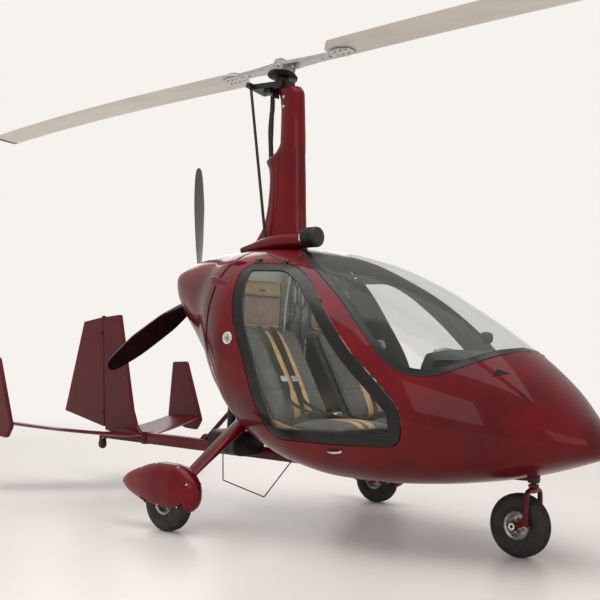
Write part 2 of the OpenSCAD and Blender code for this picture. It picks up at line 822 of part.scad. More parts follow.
module nose_fork() color(body_red) difference() {
    union() {
        translate([0, steer_y, crown_z + 10]) cylinder(r = stem_r, h = 180, $fn = 64);
        translate([0, steer_y, crown_z + 14]) cylinder(r = 26, h = 16, $fn = 64);
        translate([0, steer_y, crown_z]) rotate([0, 90, 0]) cylinder(r = 15, h = 2 * fork_x, center = true, $fn = 48);
        for (side = [-1, 1]) {
            translate([side * fork_x, steer_y, tyre_r + 15]) cylinder(r = 13, h = crown_z - tyre_r - 15, $fn = 40);
            translate([side * fork_x, steer_y, crown_z]) sphere(r = 15, $fn = 32);
            translate([side * fork_x, steer_y, tyre_r + 15]) sphere(r = 15, $fn = 32);
            rod_between([side * fork_x, steer_y, tyre_r + 15], [side * fork_x, nose_y, tyre_r], 11);
            translate([side * fork_x, nose_y, tyre_r]) tube_x(24, 22);
        }
        translate([0, steer_y, crown_z - 10]) cylinder(r = 22, h = 28, $fn = 48);
    }
    translate([0, nose_y, tyre_r]) tube_x(axle_r + seat_gap, 300);
}

module nose_axle() color(silver) translate([0, nose_y, tyre_r]) difference() {
    union() {
        tube_x(axle_r, 170);
        for (side = [-1, 1]) translate([side * (fork_x + 11 + seat_gap + 4), 0, 0]) tube_x(18, 8);
    }
    tube_x(8, 200);
}

module nose_rim() color(silver) translate([0, nose_y, tyre_r]) rim();
module nose_tyre() color(black) translate([0, nose_y, tyre_r]) tyre();

// ---- Doors ----

module door_frame(side) {
    intersection() {
        difference() {
            pod(0);
            pod(-door_frame_t);
        }
        difference() {
            side_cut(DOOR, door_corner_r, 0, side);
            side_cut(DOOR, door_corner_r, -door_frame_w, side);
        }
    }
}

module door_window(side) {
    intersection() {
        difference() {
            pod(0);
            pod(-glass_t);
        }
        side_cut(DOOR, door_corner_r, -door_frame_w - seat_gap, side);
    }
}

module door_frame_left() color(black) {
    door_frame(LEFT);
    door_knuckles();
}
module door_window_left() color([0.8, 0.85, 0.85, 0.3]) door_window(LEFT);
module door_frame_right() color(black) {
    door_frame(RIGHT);
    mirror([1, 0, 0]) door_knuckles();
}
module door_window_right() color([0.8, 0.85, 0.85, 0.3]) door_window(RIGHT);

// ---- Small fittings ----

filler_y = -296;
filler_z = 1039;
filler_r = 34;

module filler_hole() {
    for (side = [LEFT, RIGHT]) translate([side * (cabin_w / 2 - 100), filler_y, filler_z]) rotate([0, side * 90, 0])
        cylinder(r = filler_r + seat_gap, h = 200, $fn = 48);
}

module fuel_filler() color(silver) for (side = [LEFT, RIGHT])
    translate([side * (cabin_w / 2 - 45), filler_y, filler_z]) rotate([0, side * 90, 0]) difference() {
        cylinder(r = filler_r, h = 36, $fn = 64);
        translate([0, 0, 28]) cylinder(r = filler_r - 9, h = 20, $fn = 48);
    }

module belly_antenna() color(silver) difference() {
    for (leg = [[[-200, -410, 412], [-200, -146, 124]], [[-200, -146, 124], [-200, 205, 185]],
            [[-200, 205, 185], [-200, 215, 345 - seat_gap]]])
        rod_between(leg[0], leg[1], 3.5, 16);
    pod(seat_gap);
}

fuselage_shell();
windscreen();
engine_cowl();
firewall();
cabin_floor();
centre_console();
instrument_panel();
control_sticks();
rudder_pedals();
seat_shells();
seat_bottom_cushions();
seat_back_cushions();
headrests();
engine_block();
muffler();
mast();
intake_duct();
air_filter();
rotor_head();
control_rods();
prerotator_shaft();
rotor_hub();
rotor_blades();
keel_boom();
boom_strut();
tail_beam();
tail_wheel();
stabiliser();
outer_fins();
tail_fin();
rudder();
propeller_hub();
propeller_blades();
main_gear_bow();
wheel_spats();
main_rim_left();
main_tyre_left();
main_rim_right();
main_tyre_right();
nose_leg_tube();
nose_fork();
nose_axle();
nose_rim();
nose_tyre();
door_frame_left();
door_window_left();
door_frame_right();
door_window_right();
fuel_filler();
belly_antenna();
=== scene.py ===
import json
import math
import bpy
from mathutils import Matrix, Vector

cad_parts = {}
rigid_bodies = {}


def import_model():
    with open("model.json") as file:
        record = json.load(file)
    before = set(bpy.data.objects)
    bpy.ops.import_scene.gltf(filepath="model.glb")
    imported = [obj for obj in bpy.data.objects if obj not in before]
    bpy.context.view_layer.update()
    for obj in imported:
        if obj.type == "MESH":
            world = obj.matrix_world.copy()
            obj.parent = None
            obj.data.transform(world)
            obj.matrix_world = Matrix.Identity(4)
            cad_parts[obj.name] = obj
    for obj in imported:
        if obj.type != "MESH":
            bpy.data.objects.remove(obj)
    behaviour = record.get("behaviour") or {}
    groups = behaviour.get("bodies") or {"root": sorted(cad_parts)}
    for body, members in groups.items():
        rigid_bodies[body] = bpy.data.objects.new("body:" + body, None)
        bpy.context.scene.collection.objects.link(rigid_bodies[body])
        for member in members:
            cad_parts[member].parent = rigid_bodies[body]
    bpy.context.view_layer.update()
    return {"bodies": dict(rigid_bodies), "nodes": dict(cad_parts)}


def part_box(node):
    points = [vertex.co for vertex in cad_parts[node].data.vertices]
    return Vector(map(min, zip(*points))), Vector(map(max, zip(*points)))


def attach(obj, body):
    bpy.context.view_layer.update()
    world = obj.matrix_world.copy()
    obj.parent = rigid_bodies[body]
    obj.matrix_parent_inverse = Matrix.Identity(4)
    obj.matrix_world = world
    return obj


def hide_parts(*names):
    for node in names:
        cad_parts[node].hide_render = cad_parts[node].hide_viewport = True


bl_info = {
    "name": "Gyrocopter",
    "version": (1, 0, 0),
    "blender": (4, 5, 0),
    "location": "View3D > Sidebar > Gyrocopter",
    "description": "Builds the finished skins, cabin, rotor, wheels and stage of an enclosed gyrocopter",
    "category": "Add Mesh",
}

import bmesh
import bpy
from bpy.props import FloatProperty, FloatVectorProperty, IntProperty, PointerProperty
from mathutils import Matrix, Vector
from mathutils.geometry import delaunay_2d_cdt

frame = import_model()
TURN = 2 * math.pi
SIDES = (("left", 1), ("right", -1))


def linear(code):
    """An sRGB hex colour as the linear colour that a shader takes."""
    out = []
    for place in (1, 3, 5):
        part = int(code[place:place + 2], 16) / 255
        out.append(part / 12.92 if part <= 0.04045 else ((part + 0.055) / 1.055) ** 2.4)
    return (out[0], out[1], out[2], 1.0)


# ---- Sizes and colours that a user would change ----


def colour(name, code, words):
    return FloatVectorProperty(name=name, description=words, subtype="COLOR", size=4, min=0, max=1, default=linear(code))


def length(name, metres, words, low=0.0, high=10.0):
    return FloatProperty(name=name, description=words, default=metres, min=low, max=high, unit="LENGTH")


class GyroBody(bpy.types.PropertyGroup):
    """Painted body, windscreen and doors."""

    enamel: colour("Enamel", "#72000d", "Deep red of the sprayed body enamel")
    enamel_deep: colour("Enamel, thin", "#520008", "Darker red where the coat is thin")
    band: length("Windscreen band", 0.034, "Width of the black band round the windscreen", 0.01, 0.08)
    frame_width: length("Door frame", 0.062, "Width of the black frame round a door window", 0.04, 0.09)
    door_gap: length("Door gap", 0.006, "Gap between a door and the body", 0.004, 0.01)
    shell: length("Shell", 0.006, "Thickness of the body shell that shows at its edges", 0.003, 0.018)
    glazing: length("Glazing", 0.004, "Thickness of the clear acrylic", 0.003, 0.008)
    glass_tint: colour("Glazing tint", "#8e948a", "Faint grey green of the acrylic")


class GyroRotor(bpy.types.PropertyGroup):
    """Rotor, mast and propeller."""

    blade_white: colour("Blade paint", "#e0dbd2", "Off white of the rotor blades")
    chord: length("Blade chord", 0.22, "Width of a rotor blade", 0.18, 0.24)
    bolts: IntProperty(name="Root bolts", description="Bolts in each blade root", default=6, min=2, max=8)
    prop_black: colour("Propeller", "#0b0b0c", "Gloss black of the carbon propeller")


class GyroGear(bpy.types.PropertyGroup):
    """Wheels, spats and legs."""

    rubber: colour("Tyre rubber", "#232120", "Dark grey of the tyres")
    rim_silver: colour("Rims", "#c4c2bf", "Silver of the cast rims")
    groove: length("Tread groove", 0.006, "Width of a tread groove", 0.002, 0.012)


class GyroCabin(bpy.types.PropertyGroup):
    """Seats, belts and instruments."""

    leather: colour("Seat leather", "#6b6862", "Warm grey of the seat leather")
    stripe: colour("Stripe leather", "#efc48a", "Tan of the seat stripes and pouches")
    stripe_width: length("Stripe", 0.052, "Width of a tan seat stripe", 0.02, 0.08)
    lining: colour("Lining", "#4b4b41", "Grey green of the cabin lining")


class GyroStage(bpy.types.PropertyGroup):
    """Floor, light and camera."""

    floor: colour("Floor", "#ece5df", "Pale warm floor")
    backdrop: colour("Backdrop", "#f6f2ee", "Pale warm wall behind the object")
    key_watts: FloatProperty(name="Key light", description="Power of the large overhead light", default=235, min=0, max=3000, unit="POWER")
    lens: FloatProperty(name="Lens", description="Focal length in millimetres", default=60.66, min=20, max=200)


# ---- Meshes ----


def smooth_table(rows, at):
    """The row of a table at a place along its first column, smooth and without overshoot between rows."""
    at = min(max(at, rows[0][0]), rows[-1][0])
    last = len(rows) - 1
    k = 0
    while k < last - 1 and rows[k + 1][0] < at:
        k += 1

    def steepness(i, c):
        before = (rows[i][c] - rows[i - 1][c]) / (rows[i][0] - rows[i - 1][0]) if i > 0 else None
        after = (rows[i + 1][c] - rows[i][c]) / (rows[i + 1][0] - rows[i][0]) if i < last else None
        if before is None or after is None:
            return after if before is None else before
        return 0.0 if before * after <= 0 else 2 * before * after / (before + after)

    span = rows[k + 1][0] - rows[k][0]
    t = (at - rows[k][0]) / span
    out = [at]
    for c in range(1, len(rows[0])):
        a, b = rows[k][c], rows[k + 1][c]
        ma, mb = steepness(k, c) * span, steepness(k + 1, c) * span
        out.append(a + t * (ma + t * (3 * (b - a) - 2 * ma - mb + t * (ma + mb - 2 * (b - a)))))
    return out


def smooth_path(points, steps=6):
    """A smooth line through the points."""
    points = [Vector(p) for p in points]
    ends = [2 * points[0] - points[1]] + points + [2 * points[-1] - points[-2]]
    line = []
    for i in range(1, len(ends) - 2):
        for s in range(steps):
            t = s / steps
            a, b, c, d = ends[i - 1:i + 3]
            line.append(0.5 * (2 * b + (c - a) * t + (2 * a - 5 * b + 4 * c - d) * t * t + (3 * b - a - 3 * c + d) * t ** 3))
    line.append(points[-1])
    return line


def loft(rings, capped=True):
    """Skin over rings that have as many points each."""
    around = len(rings[0])
    verts = [tuple(p) for ring in rings for p in ring]
    faces = []
    for i in range(len(rings) - 1):
        for j in range(around):
            k = (j + 1) % around
            faces.append((i * around + j, i * around + k, (i + 1) * around + k, (i + 1) * around + j))
    if capped:
        faces.append(tuple(reversed(range(around))))
        faces.append(tuple(range(len(verts) - around, len(verts))))
    return verts, faces


def oval(half_wide, half_high, power=2.0, count=32):
    """Points round an oval or a rounded rectangle."""
    out = []
    for i in range(count):
        c, s = math.cos(TURN * i / count), math.sin(TURN * i / count)
        out.append((math.copysign(half_wide * abs(c) ** (2 / power), c), math.copysign(half_high * abs(s) ** (2 / power), s)))
    return out


def tube(points, radius, count=14, section=None):
    """A round bar, or one of another section, along a line. radius may be one number or one for each point."""
    points = [Vector(p) for p in points]
    radii = radius if isinstance(radius, (list, tuple)) else [radius] * len(points)
    section = section or oval(1, 1, 2, count)
    rings = []
    side = None
    for i, p in enumerate(points):
        ahead = (points[min(i + 1, len(points) - 1)] - points[max(i - 1, 0)]).normalized()
        if side is None:
            side = ahead.cross(Vector((0, 0, 1)))
            side = ahead.cross(Vector((0, 1, 0))) if side.length < 0.1 else side
        side = (side - ahead * side.dot(ahead)).normalized()
        up = side.cross(ahead)
        rings.append([p + side * (radii[i] * a) + up * (radii[i] * b) for a, b in section])
    return loft(rings)


def lathe(profile, centre, axis="X", count=64, closed=True):
    """A turned form: profile holds (radius, place along the axis). A closed profile runs back to its start."""
    centre = Vector(centre)
    turn = {"X": lambda r, h, c, s: Vector((h, r * c, r * s)), "Y": lambda r, h, c, s: Vector((r * s, h, r * c)),
            "Z": lambda r, h, c, s: Vector((r * c, r * s, h))}[axis]
    verts = []
    for r, h in profile:
        for i in range(count):
            a = TURN * i / count
            verts.append(tuple(centre + turn(r, h, math.cos(a), math.sin(a))))
    faces = []
    rows = len(profile)
    for j in range(rows if closed else rows - 1):
        for i in range(count):
            k, m = (i + 1) % count, (j + 1) % rows
            faces.append((j * count + i, j * count + k, m * count + k, m * count + i))
    return verts, faces


def block(low, high):
    """A box between two corners, whose edges the piece's bevel rounds."""
    x, y, z = zip(low, high)
    verts = [(x[i], y[j], z[k]) for i in (0, 1) for j in (0, 1) for k in (0, 1)]
    return verts, [(0, 1, 3, 2), (4, 6, 7, 5), (0, 4, 5, 1), (2, 3, 7, 6), (0, 2, 6, 4), (1, 5, 7, 3)]


def plate(outline, low, high, axis="X"):
    """An outline pushed along an axis: a side view along X, a plan view along Z, a front view along Y."""
    place = {"X": lambda a, b, h: (h, a, b), "Y": lambda a, b, h: (a, h, b), "Z": lambda a, b, h: (a, b, h)}[axis]
    verts = [place(a, b, low) for a, b in outline] + [place(a, b, high) for a, b in outline]
    n = len(outline)
    faces = [tuple(reversed(range(n))), tuple(range(n, 2 * n))]
    return verts, faces + [(i, (i + 1) % n, n + (i + 1) % n, n + i) for i in range(n)]


def moved(shape, matrix):
    return [tuple(matrix @ Vector(v)) for v in shape[0]], shape[1]


def bolt(at, axis, radius, high):
    """A hexagon bolt head on its washer."""
    ring = lathe([(0.0, 0), (radius * 1.35, 0), (radius * 1.35, high * 0.2), (0.0, high * 0.2)], (0, 0, 0), "Z", 24, False)
    head = lathe([(0.0, 0), (radius, 0), (radius, high * 0.85), (radius * 0.8, high), (0.0, high)], (0, 0, 0), "Z", 6, False)
    pose = Matrix.Translation(Vector(at)) @ Vector(axis).to_track_quat("Z", "Y").to_matrix().to_4x4()
    return [moved(ring, pose), moved(head, pose)]


def piece(name, shapes, finishes, body, hides=(), bevel=0.0, sharp=32, picks=None, smooth=0, solid=True, segments=2):
    """One finished object out of shapes, each (vertices, faces). finishes is a material or several, picks gives each shape its own."""
    finishes = finishes if isinstance(finishes, (list, tuple)) else [finishes]
    mesh = bpy.data.meshes.new(name)
    verts, faces, index = [], [], []
    for n, (v, f) in enumerate(shapes):
        start = len(verts)
        verts += v
        faces += [tuple(start + i for i in face) for face in f]
        index += [picks[n] if picks else 0] * len(f)
    mesh.from_pydata(verts, [], faces)
    for finish in finishes:
        mesh.materials.append(finish)
    mesh.polygons.foreach_set("material_index", index)
    work = bmesh.new()
    work.from_mesh(mesh)
    bmesh.ops.remove_doubles(work, verts=work.verts, dist=1e-6)
    bmesh.ops.dissolve_degenerate(work, edges=work.edges, dist=1e-7)
    if solid:
        bmesh.ops.recalc_face_normals(work, faces=work.faces)
    work.to_mesh(mesh)
    work.free()
    mesh.polygons.foreach_set("use_smooth", [True] * len(mesh.polygons))
    thing = bpy.data.objects.new(name, mesh)
    bpy.context.scene.collection.objects.link(thing)
    if bevel:
        edge = thing.modifiers.new("edge", "BEVEL")
        edge.width = bevel
        edge.segments = segments
        edge.limit_method = "ANGLE"
        edge.angle_limit = math.radians(sharp)
        edge.harden_normals = True
        edge.use_clamp_overlap = True
    if smooth:
        round_off = thing.modifiers.new("round", "SUBSURF")
        round_off.levels = smooth
        round_off.render_levels = smooth
    else:
        mesh.set_sharp_from_angle(angle=math.radians(sharp))
    settle(thing, body, hides)
    return thing


def settle(thing, body, hides=()):
    """Ties an object to its body, and hides the plain nodes it stands for."""
    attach(thing, body)
    if hides:
        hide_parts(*hides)


# ---- Finishes ----


def add(tree, kind, values=None, links=None, **settings):
    """Adds a node with its settings, its constant inputs and its links."""
    made = tree.nodes.new(kind)
    for key, value in settings.items():
        setattr(made, key, value)
    for key, value in (values or {}).items():
        made.inputs[key].default_value = value
    for key, source in (links or {}).items():
        tree.links.new(source, made.inputs[key])
    return made


FINISHES = {}


def finish(name, low, high, patch, grain, depth, rough, spread=0.06, stretch=(1, 1, 1), pattern="noise", **sockets):
    """A material of two close tones that vary over patch metres, with a surface relief of grain metres.

    The relief's depth is in metres. sockets are constants on the shader itself.
    """
    material = bpy.data.materials.new(name)
    material.use_nodes = True
    tree = material.node_tree
    tree.nodes.clear()
    place = add(tree, "ShaderNodeTexCoord").outputs["Object"]
    along = add(tree, "ShaderNodeMapping", {"Scale": stretch}, {"Vector": place}).outputs[0]
    cloud = add(tree, "ShaderNodeTexNoise", {"Scale": 1 / patch, "Detail": 4.0, "Roughness": 0.6}, {"Vector": along})
    tones = add(tree, "ShaderNodeValToRGB", links={"Fac": cloud.outputs["Fac"]})
    tones.color_ramp.elements[0].position = 0.36
    tones.color_ramp.elements[0].color = low
    tones.color_ramp.elements[1].position = 0.64
    tones.color_ramp.elements[1].color = high
    if pattern == "cells":
        relief = add(tree, "ShaderNodeTexVoronoi", {"Scale": 1 / grain}, {"Vector": along}, feature="DISTANCE_TO_EDGE")
        height = relief.outputs["Distance"]
    elif pattern == "weave":
        first = add(tree, "ShaderNodeTexWave", {"Scale": 1 / grain, "Distortion": 0.3}, {"Vector": along}, bands_direction="Z")
        cross = add(tree, "ShaderNodeTexWave", {"Scale": 1 / grain, "Distortion": 0.3}, {"Vector": along}, bands_direction="X")
        height = add(tree, "ShaderNodeMath", links={0: first.outputs["Fac"], 1: cross.outputs["Fac"]}, operation="MULTIPLY").outputs[0]
    else:
        relief = add(tree, "ShaderNodeTexNoise", {"Scale": 1 / grain, "Detail": 2.0, "Roughness": 0.5}, {"Vector": along})
        height = relief.outputs["Fac"]
    bump = add(tree, "ShaderNodeBump", {"Strength": 1.0, "Distance": depth}, {"Height": height})
    wear = add(tree, "ShaderNodeMapRange", {"To Min": max(rough - spread, 0.0), "To Max": rough + spread}, {"Value": cloud.outputs["Fac"]})
    shader = add(tree, "ShaderNodeBsdfPrincipled", sockets, {
        "Base Color": tones.outputs["Color"], "Roughness": wear.outputs["Result"], "Normal": bump.outputs["Normal"]})
    add(tree, "ShaderNodeOutputMaterial", links={"Surface": shader.outputs[0]})
    material.diffuse_color = high
    FINISHES[name] = material
    return material


def clear(name, tint, low, high, rough):
    """Cast acrylic sheet: nearly all light passes, more is mirrored at a glance, and scuffs break the mirror a little."""
    material = bpy.data.materials.new(name)
    material.use_nodes = True
    tree = material.node_tree
    tree.nodes.clear()
    place = add(tree, "ShaderNodeTexCoord").outputs["Object"]
    cloud = add(tree, "ShaderNodeTexNoise", {"Scale": 9.0, "Detail": 5.0}, {"Vector": place})
    scuff = add(tree, "ShaderNodeMapRange", {"To Min": rough, "To Max": rough + 0.03}, {"Value": cloud.outputs["Fac"]})
    glance = add(tree, "ShaderNodeLayerWeight", {"Blend": 0.35})
    solid = add(tree, "ShaderNodeMapRange", {"To Min": low, "To Max": high}, {"Value": glance.outputs["Fresnel"]})
    shader = add(tree, "ShaderNodeBsdfPrincipled", {"Base Color": tint, "IOR": 1.49}, {
        "Roughness": scuff.outputs["Result"], "Alpha": solid.outputs["Result"]})
    add(tree, "ShaderNodeOutputMaterial", links={"Surface": shader.outputs[0]})
    FINISHES[name] = material
    return material


class GYRO_OT_finishes(bpy.types.Operator):
    """Make every finish that the pieces use"""

    bl_idname = "gyro.finishes"
    bl_label = "Finishes"

    def execute(self, context):
        s = context.scene
        body, rotor, gear, cabin = s.gyro_body, s.gyro_rotor, s.gyro_gear, s.gyro_cabin
        # Two-pack polyurethane enamel, sprayed over fine flake and lacquered: deep red, wet gloss, faint orange peel.
        finish("sprayed_enamel", tuple(body.enamel_deep), tuple(body.enamel), 0.5, 0.006, 0.00003, 0.42, 0.04,
               **{"Metallic": 0.12, "Specular IOR Level": 0.08, "Coat Weight": 0.42, "Coat Roughness": 0.03, "Coat IOR": 1.45})
        # The same enamel on the tail and legs, sprayed thinner and flatter.
        finish("satin_enamel", tuple(body.enamel_deep), linear("#5e0812"), 0.3, 0.005, 0.00004, 0.36, 0.05,
               **{"Metallic": 0.05, "Specular IOR Level": 0.18, "Coat Weight": 0.22, "Coat Roughness": 0.15})
        # Black two-pack enamel on the frames and bands round the glazing: even black, high gloss.
        finish("black_enamel", linear("#050605"), linear("#0b0c0b"), 0.3, 0.006, 0.00003, 0.30, 0.04, **{"Specular IOR Level": 0.3, "Coat Weight": 0.15, "Coat Roughness": 0.05})
        # Grey-green flocked gelcoat on the inside of the shell: matt, finely speckled.
        finish("cabin_lining", linear("#3f4038"), tuple(cabin.lining), 0.05, 0.0025, 0.0006, 0.85, 0.05)
        # White polyurethane paint on extruded blades: off white, half gloss, faint streaks along the blade.
        finish("blade_paint", linear("#d2cdc4"), tuple(rotor.blade_white), 0.35, 0.01, 0.00005, 0.42, 0.08, (3, 0.6, 3))
        # Anodised aluminium hub bar and root plates: pale grey metal with a fine drawn grain.
        finish("anodised_aluminium", linear("#aaa9a8"), linear("#cccac8"), 0.06, 0.0015, 0.00008, 0.34, 0.06, (6, 0.8, 6), **{"Metallic": 0.85})
        # Lacquered carbon composite propeller: black, glassy, slightly wavy skin.
        finish("lacquered_carbon", linear("#070707"), tuple(rotor.prop_black), 0.2, 0.02, 0.0002, 0.14, 0.05, **{"Coat Weight": 1.0, "Coat Roughness": 0.04})
        # Cast aluminium rims, machined and lacquered: silver with a fine sand grain.
        finish("cast_aluminium", linear("#9f9d9a"), tuple(gear.rim_silver), 0.03, 0.0015, 0.0001, 0.36, 0.08, **{"Metallic": 0.9})
        # Vulcanised tyre rubber: dark warm grey, dusty, with a fine moulded grain.
        finish("tyre_rubber", linear("#1c1a19"), linear("#33302d"), 0.05, 0.0016, 0.0003, 0.78, 0.08)
        # Powder-coated steel of the rotor head, rods and silencer: near black, half matt, pebbly.
        finish("powder_coated_steel", linear("#0f0d0d"), linear("#1d1a1a"), 0.06, 0.0022, 0.0002, 0.46, 0.08, **{"Metallic": 0.2})
        # Moulded ABS of the dash, filter and fittings: charcoal with a leather-like moulded grain.
        finish("moulded_abs", linear("#181a17"), linear("#262823"), 0.08, 0.0022, 0.00018, 0.55, 0.06, pattern="cells")
        # Grey moulded ABS of the console and side trims.
        finish("grey_abs", linear("#4a4842"), linear("#5d5a53"), 0.08, 0.0022, 0.00018, 0.6, 0.06, pattern="cells")
        # Full-grain seat leather: warm grey, pebbled at about 2 mm (drawn 4 mm so that it shows), soft sheen at the folds.
        finish("grey_leather", linear("#565350"), tuple(cabin.leather), 0.09, 0.004, 0.0007, 0.5, 0.09, pattern="cells",
               **{"Sheen Weight": 0.15, "Sheen Roughness": 0.5})
        # Tan leather of the stripes, flaps and pouches, the same pebble.
        finish("tan_leather", linear("#dcae73"), tuple(cabin.stripe), 0.07, 0.004, 0.0006, 0.48, 0.08, pattern="cells")
        # Suede side of the tan hide on the lower pouches: dusty pinkish brown.
        finish("suede", linear("#b08d7b"), linear("#c8a48f"), 0.05, 0.003, 0.0006, 0.85, 0.05, **{"Sheen Weight": 0.4})
        # Polyester belt webbing, woven of about 1 mm ribs (drawn 3 mm so that they show): black with a dull shine.
        finish("belt_webbing", linear("#15140f"), linear("#26241d"), 0.04, 0.003, 0.0008, 0.62, 0.06, pattern="weave")
        # Loop-pile carpet on the cabin floor: dark brown grey tufts of about 4 mm.
        finish("loop_carpet", linear("#2b2823"), linear("#403b33"), 0.03, 0.004, 0.0016, 0.95, 0.03)
        # Chromed and polished steel of latches, rings and bolts: bright, faintly scratched.
        finish("polished_steel", linear("#b3b1ae"), linear("#dddad6"), 0.04, 0.0008, 0.00003, 0.16, 0.06, **{"Metallic": 1.0})
        # White enamel ring round the fuel filler.
        finish("white_enamel", linear("#d8d3cc"), linear("#ece8e2"), 0.05, 0.003, 0.00003, 0.25, 0.04, **{"Coat Weight": 0.5})
        # Cast engine alloy: dull grey, sandy.
        finish("sand_cast_alloy", linear("#6e6c69"), linear("#8c8a86"), 0.05, 0.002, 0.0004, 0.5, 0.08, **{"Metallic": 0.8})
        # Synthetic hose rubber and seals: black, matt.
        finish("hose_rubber", linear("#0e0e0d"), linear("#1a1a18"), 0.04, 0.002, 0.0002, 0.62, 0.06)
        # Open joint between panels: black, matt, no shine.
        finish("joint_shadow", linear("#190307"), linear("#22060b"), 0.05, 0.003, 0.0001, 0.9, 0.03)
        # Matt instrument face with white printed scale marks.
        finish("instrument_face", linear("#0c0d0d"), linear("#161717"), 0.02, 0.001, 0.00005, 0.5, 0.05)
        clear("cast_acrylic", tuple(body.glass_tint), 0.035, 0.22, 0.01)
        clear("smoked_acrylic", linear("#4c5048"), 0.30, 0.60, 0.03)
        return {"FINISHED"}


# ---- The body's outer surface ----

# Station, share of the half width, waist height, top, bottom, roundness above and below the waist.
POD = [
    (-2.180, 0.029, 0.556, 0.572, 0.540, 2.0, 2.0), (-2.145, 0.164, 0.562, 0.648, 0.516, 2.0, 2.0),
    (-2.060, 0.321, 0.574, 0.742, 0.484, 2.0, 2.0), (-1.940, 0.471, 0.588, 0.864, 0.444, 2.1, 2.1),
    (-1.780, 0.614, 0.604, 0.992, 0.398, 2.1, 2.2), (-1.580, 0.746, 0.624, 1.122, 0.357, 2.1, 2.3),
    (-1.340, 0.857, 0.655, 1.262, 0.322, 2.1, 2.4), (-1.080, 0.936, 0.705, 1.392, 0.301, 2.2, 2.5),
    (-0.800, 0.983, 0.770, 1.498, 0.296, 2.2, 2.5), (-0.500, 1.000, 0.845, 1.564, 0.326, 2.3, 2.3),
    (-0.240, 0.985, 0.963, 1.588, 0.400, 2.3, 2.1), (-0.020, 0.864, 1.095, 1.596, 0.501, 2.3, 1.9),
    (0.180, 0.690, 1.217, 1.592, 0.697, 2.2, 1.9), (0.360, 0.587, 1.306, 1.578, 0.899, 2.1, 1.9),
    (0.500, 0.503, 1.362, 1.552, 1.054, 2.0, 2.0), (0.600, 0.420, 1.400, 1.520, 1.154, 2.0, 2.0)]
HALF = (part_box("fuselage_shell")[1][0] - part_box("fuselage_shell")[0][0]) / 2
NOSE, TAIL, TAIL_ROUND = -2.180, 0.6, 0.07
NOSE_END, TAIL_END = NOSE - 0.0075, TAIL + 0.029
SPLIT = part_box("engine_cowl")[0][1]
STRETCH = 0.55
_sections = {}


def section(y):
    """Half width, waist height, height above and below the waist, and the two powers, at a station."""
    key = round(y, 5)
    if key not in _sections:
        _, share, waist, top, bottom, above, below = smooth_table(POD, y)
        f = 1.0
        if y < NOSE:
            f = math.sqrt(max(1 - ((NOSE - y) / 0.008) ** 2, 1e-4))
        start = TAIL + 0.03 - TAIL_ROUND
        if y > start:
            f = max(1 - ((y - start) / TAIL_ROUND) ** 3, 1e-4) ** (1 / 3)
        _sections[key] = (share * HALF * f, waist, (top - waist) * f, (waist - bottom) * f, above, below)
    return _sections[key]


def fullness(x, y, z):
    """1 on the body's surface, more outside it."""
    wide, waist, up, down, above, below = section(y)
    high, power = (up, above) if z >= waist else (down, below)
    return (abs(x) / wide) ** power + (abs(z - waist) / high) ** power


def on_pod(y, q, out=0.0):
    """(point, outward normal) at a station and an angle round the section: 0 is the left waist, a quarter turn the top."""
    wide, waist, up, down, above, below = section(y)
    c, s = math.cos(q), math.sin(q)
    high, power = (up, above) if s >= 0 else (down, below)
    x = math.copysign(wide * abs(c) ** (2 / power), c)
    z = waist + math.copysign(high * abs(s) ** (2 / power), s)
    nx = math.copysign(power / wide * (abs(x) / wide) ** (power - 1), x)
    nz = math.copysign(power / high * (abs(z - waist) / high) ** (power - 1), z - waist)
    step = 0.002
    ny = (fullness(x, min(y + step, TAIL_END), z) - fullness(x, max(y - step, NOSE_END), z)) / (
        min(y + step, TAIL_END) - max(y - step, NOSE_END))
    normal = Vector((nx, ny, nz)).normalized()
    return Vector((x, y, z)) + normal * out, normal


def to_pod(point):
    """The station and angle of a point on or near the surface."""
    x, y, z = point
    wide, waist, up, down, above, below = section(y)
    high, power = (up, above) if z >= waist else (down, below)
    s = math.copysign((abs(z - waist) / high) ** (power / 2), z - waist)
    c = math.copysign((abs(x) / wide) ** (power / 2), x)
    q = math.atan2(s, c)
    return y, q + TURN if q < -math.pi / 2 - 1e-6 else q


def beside(y, z, side=1):
    """The station and angle of a place given in side view."""
    wide, waist, up, down, above, below = section(y)
    high, power = (up, above) if z >= waist else (down, below)
    q = math.asin(min((abs(z - waist) / high) ** (power / 2), 1.0)) * (1 if z >= waist else -1)
    return (y, q) if side > 0 else (y, math.pi - q)


def rounded(outline, radius, steps=7):
    """A closed outline with its corners rounded."""
    out = []
    n = len(outline)
    for i in range(n):
        a, b, c = (Vector(outline[(i + k) % n]).to_2d() for k in (-1, 0, 1))
        before, after = a - b, c - b
        cut = min(radius, before.length * 0.48, after.length * 0.48)
        p, r = b + before.normalized() * cut, b + after.normalized() * cut
        for s in range(steps + 1):
            t = s / steps
            out.append(tuple(p * (1 - t) ** 2 + b * 2 * t * (1 - t) + r * t * t))
    return out


def even(line, gap=0.018, closed=True):
    """The same line with its points evenly spaced."""
    points = [Vector(p) for p in line] + ([Vector(line[0])] if closed else [])
    lengths = [0.0]
    for a, b in zip(points, points[1:]):
        lengths.append(lengths[-1] + (b - a).length)
    count = max(int(lengths[-1] / gap), 4)
    out = []
    k = 0
    for i in range(count if closed else count + 1):
        at = lengths[-1] * i / count
        while k < len(lengths) - 2 and lengths[k + 1] < at:
            k += 1
        t = (at - lengths[k]) / max(lengths[k + 1] - lengths[k], 1e-9)
        out.append(points[k].lerp(points[k + 1], min(t, 1.0)))
    return out


